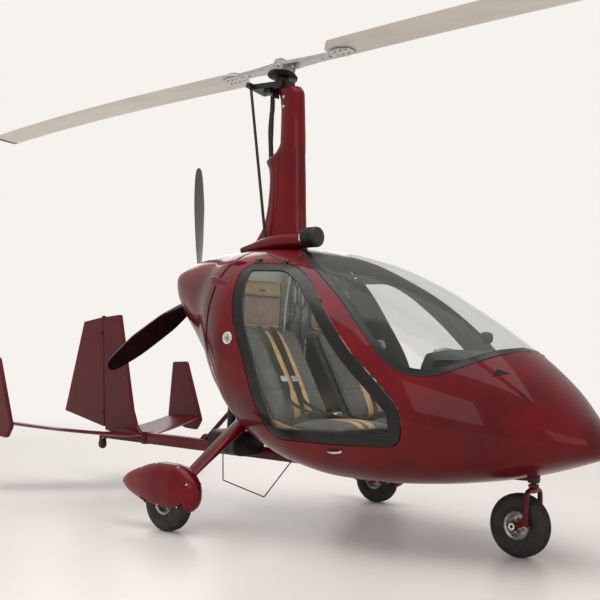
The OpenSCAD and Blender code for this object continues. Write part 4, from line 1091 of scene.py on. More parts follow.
class GYRO_OT_tail(bpy.types.Operator):
    """Keel boom, strut, tail beam, stabiliser, fins, rudder and tail wheel"""

    bl_idname = "gyro.tail"
    bl_label = "Tail"

    def execute(self, context):
        dress(["tail_beam"], "satin_enamel", 0.003)
        dress(["tail_fin", "rudder"], "satin_enamel", 0.004)
        satin = FINISHES["satin_enamel"]
        rounded_tube = oval(0.030, 0.0375, 9, 56)
        boom = [[Vector((a, y, 0.3555 + b)) for a, b in rounded_tube] for y in (-0.600, -0.2, 0.2, 0.6, 1.0, 1.2085)]
        cap = [Vector((a * 0.95, 1.2100, 0.3555 + b * 0.95)) for a, b in rounded_tube]
        clamps = [block((-0.034, 1.165, 0.314), (0.034, 1.205, 0.397))]
        clamps += bolt((-0.034, 1.185, 0.34), (-1, 0, 0), 0.006, 0.005) + bolt((-0.034, 1.185, 0.375), (-1, 0, 0), 0.006, 0.005)
        clamps += bolt((0.034, 1.185, 0.34), (1, 0, 0), 0.006, 0.005) + bolt((0.034, 1.185, 0.375), (1, 0, 0), 0.006, 0.005)
        piece("keel_boom_tube", [loft(boom + [cap])] + clamps, satin, "airframe", ("keel_boom",), bevel=0.001, sharp=45)
        start, end = Vector((0, 0.600, 0.383)), Vector((0, 0.190, 0.746))
        foot = plate(rounded([(0.560, 0.392), (0.645, 0.392), (0.620, 0.420), (0.585, 0.432)], 0.008), -0.004, 0.004)
        line = [start.lerp(end, k / 12) for k in range(13)]
        piece("boom_strut_tube", [tube(line, 0.015, 1, oval(1.35, 0.8, 2, 28)), foot] + bolt((-0.004, 0.600, 0.405), (-1, 0, 0), 0.006, 0.005), satin, "airframe",
              ("boom_strut",), sharp=45)
        rings = []
        low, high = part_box("stabiliser")
        tip = high[0]
        for k in range(-24, 25):
            x = k / 24 * tip
            t = max((abs(x) - 0.060) / (tip - 0.060), 0.0)
            front, rear = 1.215 + 0.345 * t, 1.640 + 0.265 * t
            z = 0.364 + 0.086 * t - 0.010 * math.sin(math.pi * t)
            thick = 0.0235
            ring = []
            for i in range(40):
                a = TURN * i / 40
                c, b = math.cos(a), math.sin(a)
                ring.append(Vector((x, (front + rear) / 2 + (rear - front) / 2 * c, z + thick / 2 * b * (0.78 - 0.42 * c) * 1.22)))
            rings.append(ring)
        piece("stabiliser_skin", [loft(rings)], satin, "airframe", ("stabiliser",), sharp=60)
        outline = rounded([(1.545, 0.430), (1.600, 0.352), (1.730, 0.358), (1.938, 0.420), (1.905, 0.872), (1.738, 0.880)], 0.02)
        fins, joints = [], []
        for side in (1, -1):
            x = side * 0.8303
            fins.append(plate(outline, x - 0.015, x + 0.015))
        piece("outer_fin_skins", fins, satin, "airframe", ("outer_fins",), bevel=0.0115, sharp=40, segments=5)
        fillets = []
        for side in (1, -1):
            rings = []
            for y in (1.262, 1.30, 1.40, 1.50, 1.60):
                r = 0.028 * math.sin(math.pi * (0.12 + 0.76 * (y - 1.262) / 0.338))
                arc = [Vector((side * (0.0145 + r * (1 - math.sin(math.pi / 2 * t / 6))), y, 0.3745 + r * (1 - math.cos(math.pi / 2 * t / 6)))) for t in range(7)]
                rings.append([Vector((side * 0.010, y, 0.370))] + arc)
            fillets.append(loft(rings))
        piece("fin_root_fillets", fillets, satin, "airframe", sharp=60)
        tyre = [(0.008, -0.016), (0.026, -0.017), (0.032, -0.013), (0.035, -0.006), (0.035, 0.006), (0.032, 0.013), (0.026, 0.017), (0.008, 0.016)]
        wheel = lathe(tyre, (0, 1.685, 0.275), "X", 48)
        hubs = lathe([(0.0061, -0.0175), (0.012, -0.0175), (0.012, 0.0175), (0.0061, 0.0175)], (0, 1.685, 0.275), "X", 32)
        piece("tail_wheel_tyre", [wheel, hubs], [FINISHES["tyre_rubber"], FINISHES["polished_steel"]], "tail_wheel", ("tail_wheel",), picks=[0, 1], sharp=35)
        return {"FINISHED"}


# ---- Gear and wheels ----

SPAT = [(-0.240, 0.014, 0.215, 0.026), (-0.215, 0.042, 0.215, 0.070), (-0.150, 0.068, 0.222, 0.112), (-0.060, 0.080, 0.228, 0.132), (0.040, 0.080, 0.230, 0.130),
        (0.140, 0.072, 0.232, 0.112), (0.240, 0.054, 0.232, 0.082), (0.330, 0.032, 0.230, 0.050), (0.385, 0.010, 0.228, 0.018)]
WHEEL_X, AXLE_Y, TYRE_R, NOSE_Y = 0.905, -0.120, 0.1575, -1.720


def tyre(x, y, groove):
    """A tubed tyre with four grooves round its tread."""
    half = 0.050
    profile = [(0.0670, -0.034), (0.072, -0.0375), (0.088, -0.046), (0.106, -0.0500), (0.124, -0.0485), (0.139, -0.0430), (0.1485, -0.0360), (0.1535, -0.030)]
    marks = []
    for centre in (-0.021, -0.007, 0.007, 0.021):
        crown = TYRE_R - 4.0 * centre * centre
        marks += [(crown, centre - groove * 0.62), (crown - 0.0042, centre - groove * 0.4), (crown - 0.0042, centre + groove * 0.4), (crown, centre + groove * 0.62)]
    profile = profile + marks + [(r, -h) for r, h in reversed(profile)]
    bead_ring = [(0.0900, half - 0.0062), (0.0935, half - 0.0020), (0.0970, half - 0.0030)]
    shapes = [lathe(profile, (x, y, TYRE_R), "X", 112)]
    for side in (1, -1):
        shapes.append(lathe([(r, side * h) for r, h in bead_ring], (x, y, TYRE_R), "X", 96))
    return shapes


def rim(x, y, bore, half=0.036):
    """A cast rim: flanges, a dished web with windows and a hub with its bolts."""
    flange = [(0.0670, -half), (0.0700, -half - 0.003), (0.0715, -half - 0.001), (0.0715, -half + 0.003), (0.0670, -half + 0.008), (0.0670, half - 0.008), (0.0715, half - 0.003),
              (0.0715, half + 0.001), (0.0700, half + 0.003), (0.0670, half), (0.0600, half - 0.003), (0.0560, half - 0.014), (0.0560, -half + 0.014), (0.0600, -half + 0.003)]
    web = lathe([(0.0565, -0.010), (0.0565, 0.010), (0.030, 0.016), (0.022, 0.022), (bore, 0.022), (bore, -0.022), (0.022, -0.022), (0.030, -0.016)], (x, y, TYRE_R), "X", 72)
    holes = []
    for k in range(6):
        a = TURN * k / 6
        holes.append(lathe([(0.0, x - 0.03), (0.0085, x - 0.03), (0.0085, x + 0.03), (0.0, x + 0.03)], (0, y + 0.043 * math.cos(a), TYRE_R + 0.043 * math.sin(a)), "X", 24, False))
    shapes, picks = [lathe(flange, (x, y, TYRE_R), "X", 96), carved(web, holes)], [0, 0]
    for side in (1, -1):
        for k in range(6):
            a = TURN * (k + 0.5) / 6
            parts = bolt((x + side * 0.0155, y + 0.031 * math.cos(a), TYRE_R + 0.031 * math.sin(a)), (side, 0, 0), 0.0045, 0.005)
            shapes += parts
            picks += [1] * len(parts)
    return shapes, picks


def spat_ring(station, side, grow=0.0):
    _, half_wide, centre, half_high = smooth_table(SPAT, station)
    out = []
    for i in range(72):
        a = TURN * i / 72
        c, s = math.cos(a), math.sin(a)
        power = 2.4 if s > 0 else 2.2
        out.append(Vector((side * WHEEL_X + math.copysign((half_wide + grow) * abs(c) ** (2 / power), c), AXLE_Y + station,
                           centre + math.copysign((half_high + grow) * abs(s) ** (2 / power), s))))
    return out


class GYRO_OT_gear(bpy.types.Operator):
    """Main gear bow, spats, wheels, nose leg, fork and nosewheel"""

    bl_idname = "gyro.gear"
    bl_label = "Landing gear"

    def execute(self, context):
        s = context.scene.gyro_gear
        paint, satin, steel = FINISHES["sprayed_enamel"], FINISHES["satin_enamel"], FINISHES["polished_steel"]
        rubber, cast = FINISHES["tyre_rubber"], FINISHES["cast_aluminium"]
        # Glass fibre bow: one streamlined leg to each side.
        legs = []
        for side in (1, -1):
            rings = []
            for k in range(33):
                t = k / 32
                x = 0.300 + (0.8380 - 0.300) * t
                z = 0.606 + (0.232 - 0.606) * (0.92 * t + 0.08 * t * t)
                chord, thick = 0.150 - 0.060 * t, 0.048 - 0.024 * t
                slope = Vector((side * 0.372, 0, 0.508)).normalized()
                rings.append([Vector((side * x, AXLE_Y, z)) + Vector((0, 1, 0)) * (chord / 2 * c) + slope * (thick / 2 * b * (0.86 - 0.28 * c) * 1.1)
                              for c, b in oval(1, 1, 2, 40)])
            legs.append(loft(rings))
        bow = block((-0.330, -0.195, 0.579), (0.330, -0.045, 0.629))
        plates = [plate(rounded([(-0.150, 0.1275), (-0.090, 0.1275), (-0.082, 0.226), (-0.098, 0.244), (-0.142, 0.244), (-0.158, 0.226)], 0.012), side * 0.845 - 0.005, side * 0.845 + 0.005)
                  for side in (1, -1)]
        piece("main_gear_leg_skins", legs + [bow] + plates, paint, "airframe", ("main_gear_bow",), sharp=50)
        turned = []
        for side in (1, -1):
            turned.append(lathe([(0.0, side * 0.845), (0.0124, side * 0.845), (0.0124, side * 0.9550), (0.020, side * 0.9550), (0.020, side * 0.9610), (0.017, side * 0.9630), (0.0, side * 0.9630)],
                                (0, AXLE_Y, TYRE_R), "X", 36, False))
            for y, z in ((-0.145, 0.215), (-0.095, 0.215), (-0.137, 0.190), (-0.103, 0.190)):
                turned += bolt((side * 0.8400, y, z), (-side, 0, 0), 0.0065, 0.006)
        piece("main_axles", turned, steel, "airframe", sharp=35)

        # Spats: two moulded halves with an opening for the wheel and a row of screws.
        shells, seams = [], []
        for side in (1, -1):
            stations = [-0.2395, -0.236, -0.230, -0.222, -0.212] + [-0.20 + 0.585 * k / 52 for k in range(52)] + [0.3845]
            outer = loft([spat_ring(t, side) for t in stations])
            inner = loft([spat_ring(t, side, -0.004) for t in stations if -0.215 < t < 0.37])
            cut = block((side * WHEEL_X - 0.058, AXLE_Y - 0.1695, 0.0), (side * WHEEL_X + 0.058, AXLE_Y + 0.1695, 0.1575))
            arch = lathe([(0.0, -0.058), (0.1695, -0.058), (0.1695, 0.058), (0.0, 0.058)], (side * WHEEL_X, AXLE_Y, TYRE_R), "X", 72, False)
            leg_hole = block((side * 0.80, AXLE_Y - 0.060, 0.10), (side * 0.8520, AXLE_Y + 0.060, 0.2530))
            shells.append(carved(outer, [inner, cut, arch, leg_hole]))
            strip = []
            for k in range(64):
                t = -0.236 + 0.618 * k / 63
                ring = spat_ring(t, side, 0.0007)
                strip += [tuple(ring[18] + Vector((-0.0012, 0, 0))), tuple(ring[18] + Vector((0.0012, 0, 0)))]
            seams.append((strip, [(2 * i, 2 * i + 1, 2 * i + 3, 2 * i + 2) for i in range(63)]))
        piece("wheel_spat_shells", shells, paint, "airframe", ("wheel_spats",), sharp=42)
        screws = []
        for side in (1, -1):
            for t, up in ((-0.10, 14), (0.07, 14), (0.19, 12), (-0.19, 6), (-0.13, 64), (0.02, 64), (0.16, 62)):
                ring = spat_ring(t, side, 0.0)
                at = ring[up % 72] if side > 0 else ring[(36 - up) % 72]
                away = (at - Vector((side * WHEEL_X, at.y, 0.225))).normalized()
                screws += bolt(at - away * 0.001, away, 0.0055, 0.005)
                screws += [] if abs(up) > 40 else []
                at = ring[(36 - up) % 72] if side > 0 else ring[up % 72]
                away = (at - Vector((side * WHEEL_X, at.y, 0.225))).normalized()
                screws += bolt(at - away * 0.001, away, 0.0055, 0.005)
        piece("wheel_spat_screws", screws, steel, "airframe", sharp=40)
        piece("wheel_spat_seams", seams, FINISHES["joint_shadow"], "airframe", solid=False, sharp=180)
        for side, word in ((1, "left"), (-1, "right")):
            piece("main_tyre_%s_tread" % word, tyre(side * WHEEL_X, AXLE_Y, s.groove), rubber, "wheel_" + word, ("main_tyre_" + word,), sharp=35)
            shapes, picks = rim(side * WHEEL_X, AXLE_Y, 0.0134)
            piece("main_rim_%s_casting" % word, shapes, [cast, steel], "wheel_" + word, ("main_rim_" + word,), sharp=35, picks=picks)

        # Nose leg and steered fork.
        collar = [(0.0, 0.5420), (0.0300, 0.5420), (0.0300, 0.4200), (0.0320, 0.4180), (0.0320, 0.4040), (0.0300, 0.4020), (0.0300, 0.3760), (0.0280, 0.3725), (0.0170, 0.3725),
                  (0.0170, 0.3760)]
        piece("nose_leg_bearing_tube", [lathe(collar, (0, -1.790, 0), "Z", 56, False)], FINISHES["powder_coated_steel"], "airframe", ("nose_leg_tube",), sharp=35)
        shapes = [lathe([(0.0, 0.525), (0.0158, 0.525), (0.0158, 0.366), (0.0260, 0.3650), (0.0260, 0.3500), (0.0200, 0.3470), (0.0, 0.3450)], (0, -1.790, 0), "Z", 48, False)]
        hoop = []
        for side in (1, -1):
            hoop += [(side * 0.066, -1.790, 0.178), (side * 0.066, -1.790, 0.24), (side * 0.066, -1.790, 0.300), (side * 0.058, -1.790, 0.327), (side * 0.032, -1.790, 0.3355)][::side]
        line = smooth_path(hoop[:5] + [(0, -1.790, 0.3362)] + hoop[5:], 6)
        shapes.append(tube(line, [0.013 + 0.004 * max(0.0, 1 - abs(p.x) / 0.05) for p in line], 24))
        for side in (1, -1):
            low_link = smooth_path([(side * 0.066, -1.795, 0.182), (side * 0.066, -1.760, 0.168), (side * 0.066, -1.722, 0.1575)], 5)
            shapes.append(tube(low_link, 0.0112, 20))
            shapes.append(lathe([(0.0080, side * 0.055), (0.0225, side * 0.055), (0.0240, side * 0.0575), (0.0240, side * 0.0750), (0.0225, side * 0.0770), (0.0080, side * 0.0770)],
                                (0, NOSE_Y, TYRE_R), "X", 44))
            shapes.append(lathe([(0.0, side * 0.052), (0.0165, side * 0.052), (0.0185, side * 0.056), (0.0185, side * 0.077), (0.0165, side * 0.080), (0.0, side * 0.080)],
                                (0, -1.790, 0.182), "X", 36, False))
            shapes.append(plate(rounded([(-1.800, 0.196), (-1.782, 0.216), (-1.735, 0.180), (-1.745, 0.160)], 0.008), side * 0.062, side * 0.070))
        piece("nose_fork_forging", shapes, satin, "nose_fork", ("nose_fork",), sharp=45)
        axle = [(0.008, -0.077), (0.0178, -0.077), (0.0182, -0.080), (0.0178, -0.0850), (0.0123, -0.0850), (0.008, -0.0850)]
        pin = lathe([(0.008, -0.085), (0.0123, -0.085), (0.0123, 0.085), (0.008, 0.085)], (0, NOSE_Y, TYRE_R), "X", 44)
        caps = [lathe([(r, side * h) for r, h in axle], (0, NOSE_Y, TYRE_R), "X", 44) for side in (1, -1)]
        piece("nose_axle_tube", [pin] + caps, steel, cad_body("nose_axle"), ("nose_axle",), sharp=35)
        shapes, picks = rim(0, NOSE_Y, 0.0134)
        piece("nose_rim_casting", shapes, [cast, satin], "nose_wheel", ("nose_rim",), sharp=35, picks=picks)
        piece("nose_tyre_tread", tyre(0, NOSE_Y, s.groove), rubber, "nose_wheel", ("nose_tyre",), sharp=35)
        return {"FINISHED"}


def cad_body(node):
    """The body that a CAD node rides on."""
    thing = frame["nodes"][node]
    for name, body in frame["bodies"].items():
        parent = thing.parent
        while parent is not None:
            if parent == body:
                return name
            parent = parent.parent
    raise RuntimeError("no body carries " + node)


# ---- Small fittings on the body ----


def skin_point(y, z, side):
    """The place on the body skin that a side view shows at a height."""
    return on_pod(*beside(y, z, side))[0]


class GYRO_OT_fittings(bpy.types.Operator):
    """Silencer, fuel fillers, antenna, scoops, hinge blister, vents, slot and belly pad"""

    bl_idname = "gyro.fittings"
    bl_label = "Fittings"

    def execute(self, context):
        paint, steel, black = FINISHES["sprayed_enamel"], FINISHES["polished_steel"], FINISHES["powder_coated_steel"]
        low, high = (-0.310, 0.010, 0.345), (-0.045, 0.245, 0.495)
        mid = Vector(((low[0] + high[0]) / 2, 0, (low[2] + high[2]) / 2))
        half = ((high[0] - low[0]) / 2, (high[2] - low[2]) / 2)
        rings = []
        for y, k in ((0.010, 0.90), (0.012, 0.955), (0.018, 1.0), (0.022, 1.0), (0.026, 0.985), (0.229, 0.985), (0.233, 1.0), (0.237, 1.0), (0.243, 0.955), (0.245, 0.90)):
            rings.append([Vector((mid.x + a * k, y, mid.z + b * k)) for a, b in oval(half[0], half[1], 3.4, 64)])
        shapes = [loft(rings)]
        for y in (0.070, 0.150):
            pipe = smooth_path([(-0.200, y, 0.470), (-0.200, y, 0.56), (-0.200, y, 0.66), (-0.198, y, 0.79)], 5)
            shapes.append(tube(pipe, 0.026, 32))
            shapes.append(lathe([(0.0255, 0.489), (0.030, 0.489), (0.030, 0.497), (0.0262, 0.501), (0.0255, 0.501)], (-0.200, y, 0), "Z", 40))
        strap = []
        for y in (0.085, 0.175):
            strap.append(loft([[Vector((mid.x + a, y + d, mid.z + b)) for a, b in oval(half[0] * k, half[1] * k, 3.4, 64)] for d, k in ((-0.010, 0.986), (-0.009, 1.0), (0.009, 1.0), (0.010, 0.986))]))
        piece("silencer_can", shapes + strap, black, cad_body("muffler"), ("muffler",), sharp=40)

        # Filler: a polished ring round a recessed cap with a keyhole.
        shapes, picks = [], []
        low_box, high_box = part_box("fuel_filler")
        reach = max(abs(low_box[0]), abs(high_box[0]))
        inner = 0.655
        for side in (1, -1):
            outer = reach
            ring = lathe([(0.0238, side * inner), (0.034, side * inner), (0.034, side * (outer - 0.003)), (0.032, side * outer), (0.0262, side * outer), (0.0240, side * (outer - 0.003))],
                         (0, -0.296, 1.039), "X", 64)
            cap = lathe([(0.0, side * inner), (0.0240, side * inner), (0.0240, side * (outer - 0.006)), (0.0226, side * (outer - 0.0045)), (0.0, side * (outer - 0.0035))],
                        (0, -0.296, 1.039), "X", 48, False)
            shapes += [ring, cap, block((side * (outer - 0.006) if side > 0 else -outer + 0.0015, -0.298, 1.028), (outer - 0.0015 if side > 0 else -(outer - 0.006), -0.294, 1.050))]
            picks += [0, 1, 2]
        piece("fuel_filler_rings", shapes, [FINISHES["white_enamel"], FINISHES["anodised_aluminium"], black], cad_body("fuel_filler"), ("fuel_filler",), sharp=35, picks=picks)
        dress(["belly_antenna"], "hose_rubber")

        # Moulded details that stand on the skin.
        shapes = []
        for side in (1, -1):
            blister = []
            for k in range(17):
                t = k / 16
                swell = math.sin(math.pi * min(max(t, 0.02), 0.98)) ** 0.6
                y = -0.185 + 0.140 * t
                centre = skin_point(y, 1.478, side)
                blister.append([centre + Vector((side * 0.018 * swell * c, 0, 0.016 * swell * b)) for c, b in oval(1, 1, 2, 24)])
            shapes.append(loft(blister))
            scoop = []
            for k in range(21):
                t = k / 20
                y = -0.165 + 0.290 * t
                z = 1.345 + 0.030 * t
                centre = skin_point(y, z, side)
                swell = math.sin(math.pi * min(max(t, 0.015), 0.985)) ** 0.8
                scoop.append([centre + Vector((side * 0.012 * swell * c, 0, 0.034 * swell * b)) for c, b in oval(1, 1, 2.2, 28)])
            shapes.append(loft(scoop))
        piece("moulded_blisters", shapes, paint, "airframe", sharp=60)
        studs, slots = [], []
        for side in (1, -1):
            centre = skin_point(-0.122, 0.872, side)
            studs.append(lathe([(0.0, side * -0.004), (0.008, side * -0.004), (0.008, side * 0.0025), (0.0055, side * 0.005), (0.0, side * 0.005)], centre, "X", 28, False))
            path = [skin_point(-0.150 + 0.035 * math.sin(TURN * k / 28) * 0.22, 0.700 - 0.045 * math.cos(TURN * k / 28), side) for k in range(28)]
            slots.append(([tuple(p + Vector((side * 0.0012, 0, 0))) for p in path], [tuple(range(28))]))
        piece("skin_studs", studs, steel, "airframe", sharp=40)
        piece("drain_slots", slots, FINISHES["joint_shadow"], "airframe", solid=False, sharp=180)
        vents = []
        for side in (1, -1):
            outline = [(-1.800, 0.905), (-1.745, 0.888), (-1.748, 0.925)]
            fine = []
            for a, b in zip(outline, outline[1:] + outline[:1]):
                fine += [(a[0] + (b[0] - a[0]) * k / 6, a[1] + (b[1] - a[1]) * k / 6) for k in range(6)]
            ring = [skin_point(y, z, side) for y, z in fine]
            middle = sum(ring, Vector()) / len(ring)
            out = Vector((side * 0.0015, 0, 0))
            vents.append(([tuple(p + out) for p in ring] + [tuple(middle + out)], [(k, (k + 1) % len(ring), len(ring)) for k in range(len(ring))]))
        piece("side_air_inlets", vents, FINISHES["joint_shadow"], "airframe", solid=False, sharp=180)
        pad = []
        for k in range(13):
            t = k / 12
            y = -1.820 + 0.260 * t
            swell = math.sin(math.pi * min(max(t, 0.03), 0.97)) ** 0.35
            pad.append([Vector((0.030 * swell * a, y, 0.392 + 0.016 * swell * b)) for a, b in oval(1, 1, 3, 28)])
        piece("belly_jacking_pad", [loft(pad)], paint, "airframe", sharp=60)
        return {"FINISHED"}


# ---- Cabin ----

LEAN = math.radians(31)
SEAT_X = 0.325
SEAT_FOOT = Vector((0, -0.560, 0.545))


def seat_pose(side, back):
    """Local x across, y along the cushion, z out of its face."""
    if back:
        turn = Matrix(((1, 0, 0), (0, math.sin(LEAN), -math.cos(LEAN)), (0, math.cos(LEAN), math.sin(LEAN)))).to_4x4()
        foot = SEAT_FOOT + Vector((side * SEAT_X, 0, 0))
        along, out = Vector((0, math.sin(LEAN), math.cos(LEAN))), Vector((0, -math.cos(LEAN), math.sin(LEAN)))
        return Matrix.Translation(foot + along * 0.345 - out * 0.0115) @ turn
    return Matrix.Translation((side * SEAT_X, -0.8325, 0.5553))


def cushion(wide, long, thick, stripes, panels, pose, crown=0.010, power=5.0, pull=0.010):
    """A stuffed pad: crowned face, sides drawn in between its corners, a flat underside and a seam at each stripe and panel.

    stripes are (from, to) across the face that take the second finish, panels are seams along it.
    """
    half_w, half_l = wide / 2, long / 2
    cuts = sorted({round(v, 5) for pair in stripes for v in pair})
    marks = {-half_w, half_w}
    for c in cuts:
        marks |= {c - 0.004, c, c + 0.004}
    us = sorted(set(round(v, 5) for v in marks | {-half_w + wide * k / 56 for k in range(57)}))
    us = [u for k, u in enumerate(us) if k == 0 or u - us[k - 1] > 0.0012 or u in cuts]
    marks = {-half_l, half_l}
    for c in panels:
        marks |= {c - 0.004, c, c + 0.004}
    vs = sorted(set(round(v, 5) for v in marks | {-half_l + long * k / 60 for k in range(61)}))
    vs = [v for k, v in enumerate(vs) if k == 0 or v - vs[k - 1] > 0.0012]

    def spot(u, v, face):
        a, b = u / half_w, v / half_l
        x = u * (1 - pull / half_w * math.cos(math.pi / 2 * b) ** 2 * abs(a) ** 3)
        y = v * (1 - pull / half_l * math.cos(math.pi / 2 * a) ** 2 * abs(b) ** 3)
        corner = (abs(a) ** 7 * abs(b) ** 7)
        x, y = x * (1 - 0.05 * corner), y * (1 - 0.05 * corner)
        edge = max(1 - abs(a) ** power, 0.0) ** 0.5 * max(1 - abs(b) ** power, 0.0) ** 0.5
        if face > 0:
            z = (thick - crown) * (0.42 + 0.58 * edge) + crown * math.cos(math.pi / 2 * a) * math.cos(math.pi / 2 * b)
            for c in cuts:
                z -= 0.0042 * math.exp(-((u - c) / 0.0035) ** 2) * min(edge * 3, 1.0)
            for c in panels:
                z -= 0.0050 * math.exp(-((v - c) / 0.0040) ** 2) * min(edge * 3, 1.0)
            crease = math.sin(31 * u + 3.1 * math.sin(9 * v + side_seed(pose))) * math.sin(14 * v + 2 * math.sin(17 * u))
            z += 0.0011 * crease * edge
        else:
            z = (thick - crown) * 0.42 * (1 - edge)
        return tuple(pose @ Vector((x, y, z)))

    verts, faces, kinds = [], [], []
    n, m = len(us), len(vs)
    for face in (1, -1):
        start = len(verts)
        for v in vs:
            verts += [spot(u, v, face) for u in us]
        for j in range(m - 1):
            for i in range(n - 1):
                q = (start + j * n + i, start + j * n + i + 1, start + (j + 1) * n + i + 1, start + (j + 1) * n + i)
                faces.append(q if face > 0 else tuple(reversed(q)))
                middle = (us[i] + us[i + 1]) / 2
                kinds.append(1 if face > 0 and any(low < middle < high for low, high in stripes) else 0)
    return (verts, faces), kinds


def side_seed(pose):
    return 1.7 if pose.translation.x > 0 else 4.1


def padded_piece(name, parts, finishes, hides):
    """Joins stuffed forms, given as (shape, kinds), into one piece."""
    shapes = [shape for shape, _ in parts]
    thing = piece(name, shapes, finishes, "airframe", (), sharp=180)
    kinds = [k for _, list_of in parts for k in list_of]
    if len(kinds) != len(thing.data.polygons):
        raise RuntimeError(name + " lost faces while it was joined")
    thing.data.polygons.foreach_set("material_index", kinds)
    round_off = thing.modifiers.new("round", "SUBSURF")
    round_off.levels = round_off.render_levels = 1
    if hides:
        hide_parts(*hides)
    return thing


def piping(wide, long, height, pose, radius=0.0042, power=9):
    """Corded edge round a pad."""
    line = [pose @ Vector((a, b, height)) for a, b in oval(wide / 2, long / 2, power, 96)]
    rings = []
    for i, p in enumerate(line):
        ahead = (line[(i + 1) % 96] - line[i - 1]).normalized()
        up = pose.to_3x3() @ Vector((0, 0, 1))
        side = ahead.cross(up).normalized()
        rings.append([p + side * radius * a + up * radius * b for a, b in oval(1, 1, 2, 10)])
    verts, faces = loft(rings, False)
    return verts, faces + [(95 * 10 + j, 95 * 10 + (j + 1) % 10, (j + 1) % 10, j) for j in range(10)]


def webbing(points, across, wide=0.046, thick=0.0024):
    """A flat woven strap along a line, thin edge up, with its face turned by across."""
    line = smooth_path(points, 8)
    rings = []
    for i, p in enumerate(line):
        ahead = (line[min(i + 1, len(line) - 1)] - line[max(i - 1, 0)]).normalized()
        side = (Vector(across) - ahead * Vector(across).dot(ahead)).normalized()
        out = side.cross(ahead)
        rings.append([p + side * a + out * b for a, b in oval(wide / 2, thick / 2, 5, 20)])
    return loft(rings)


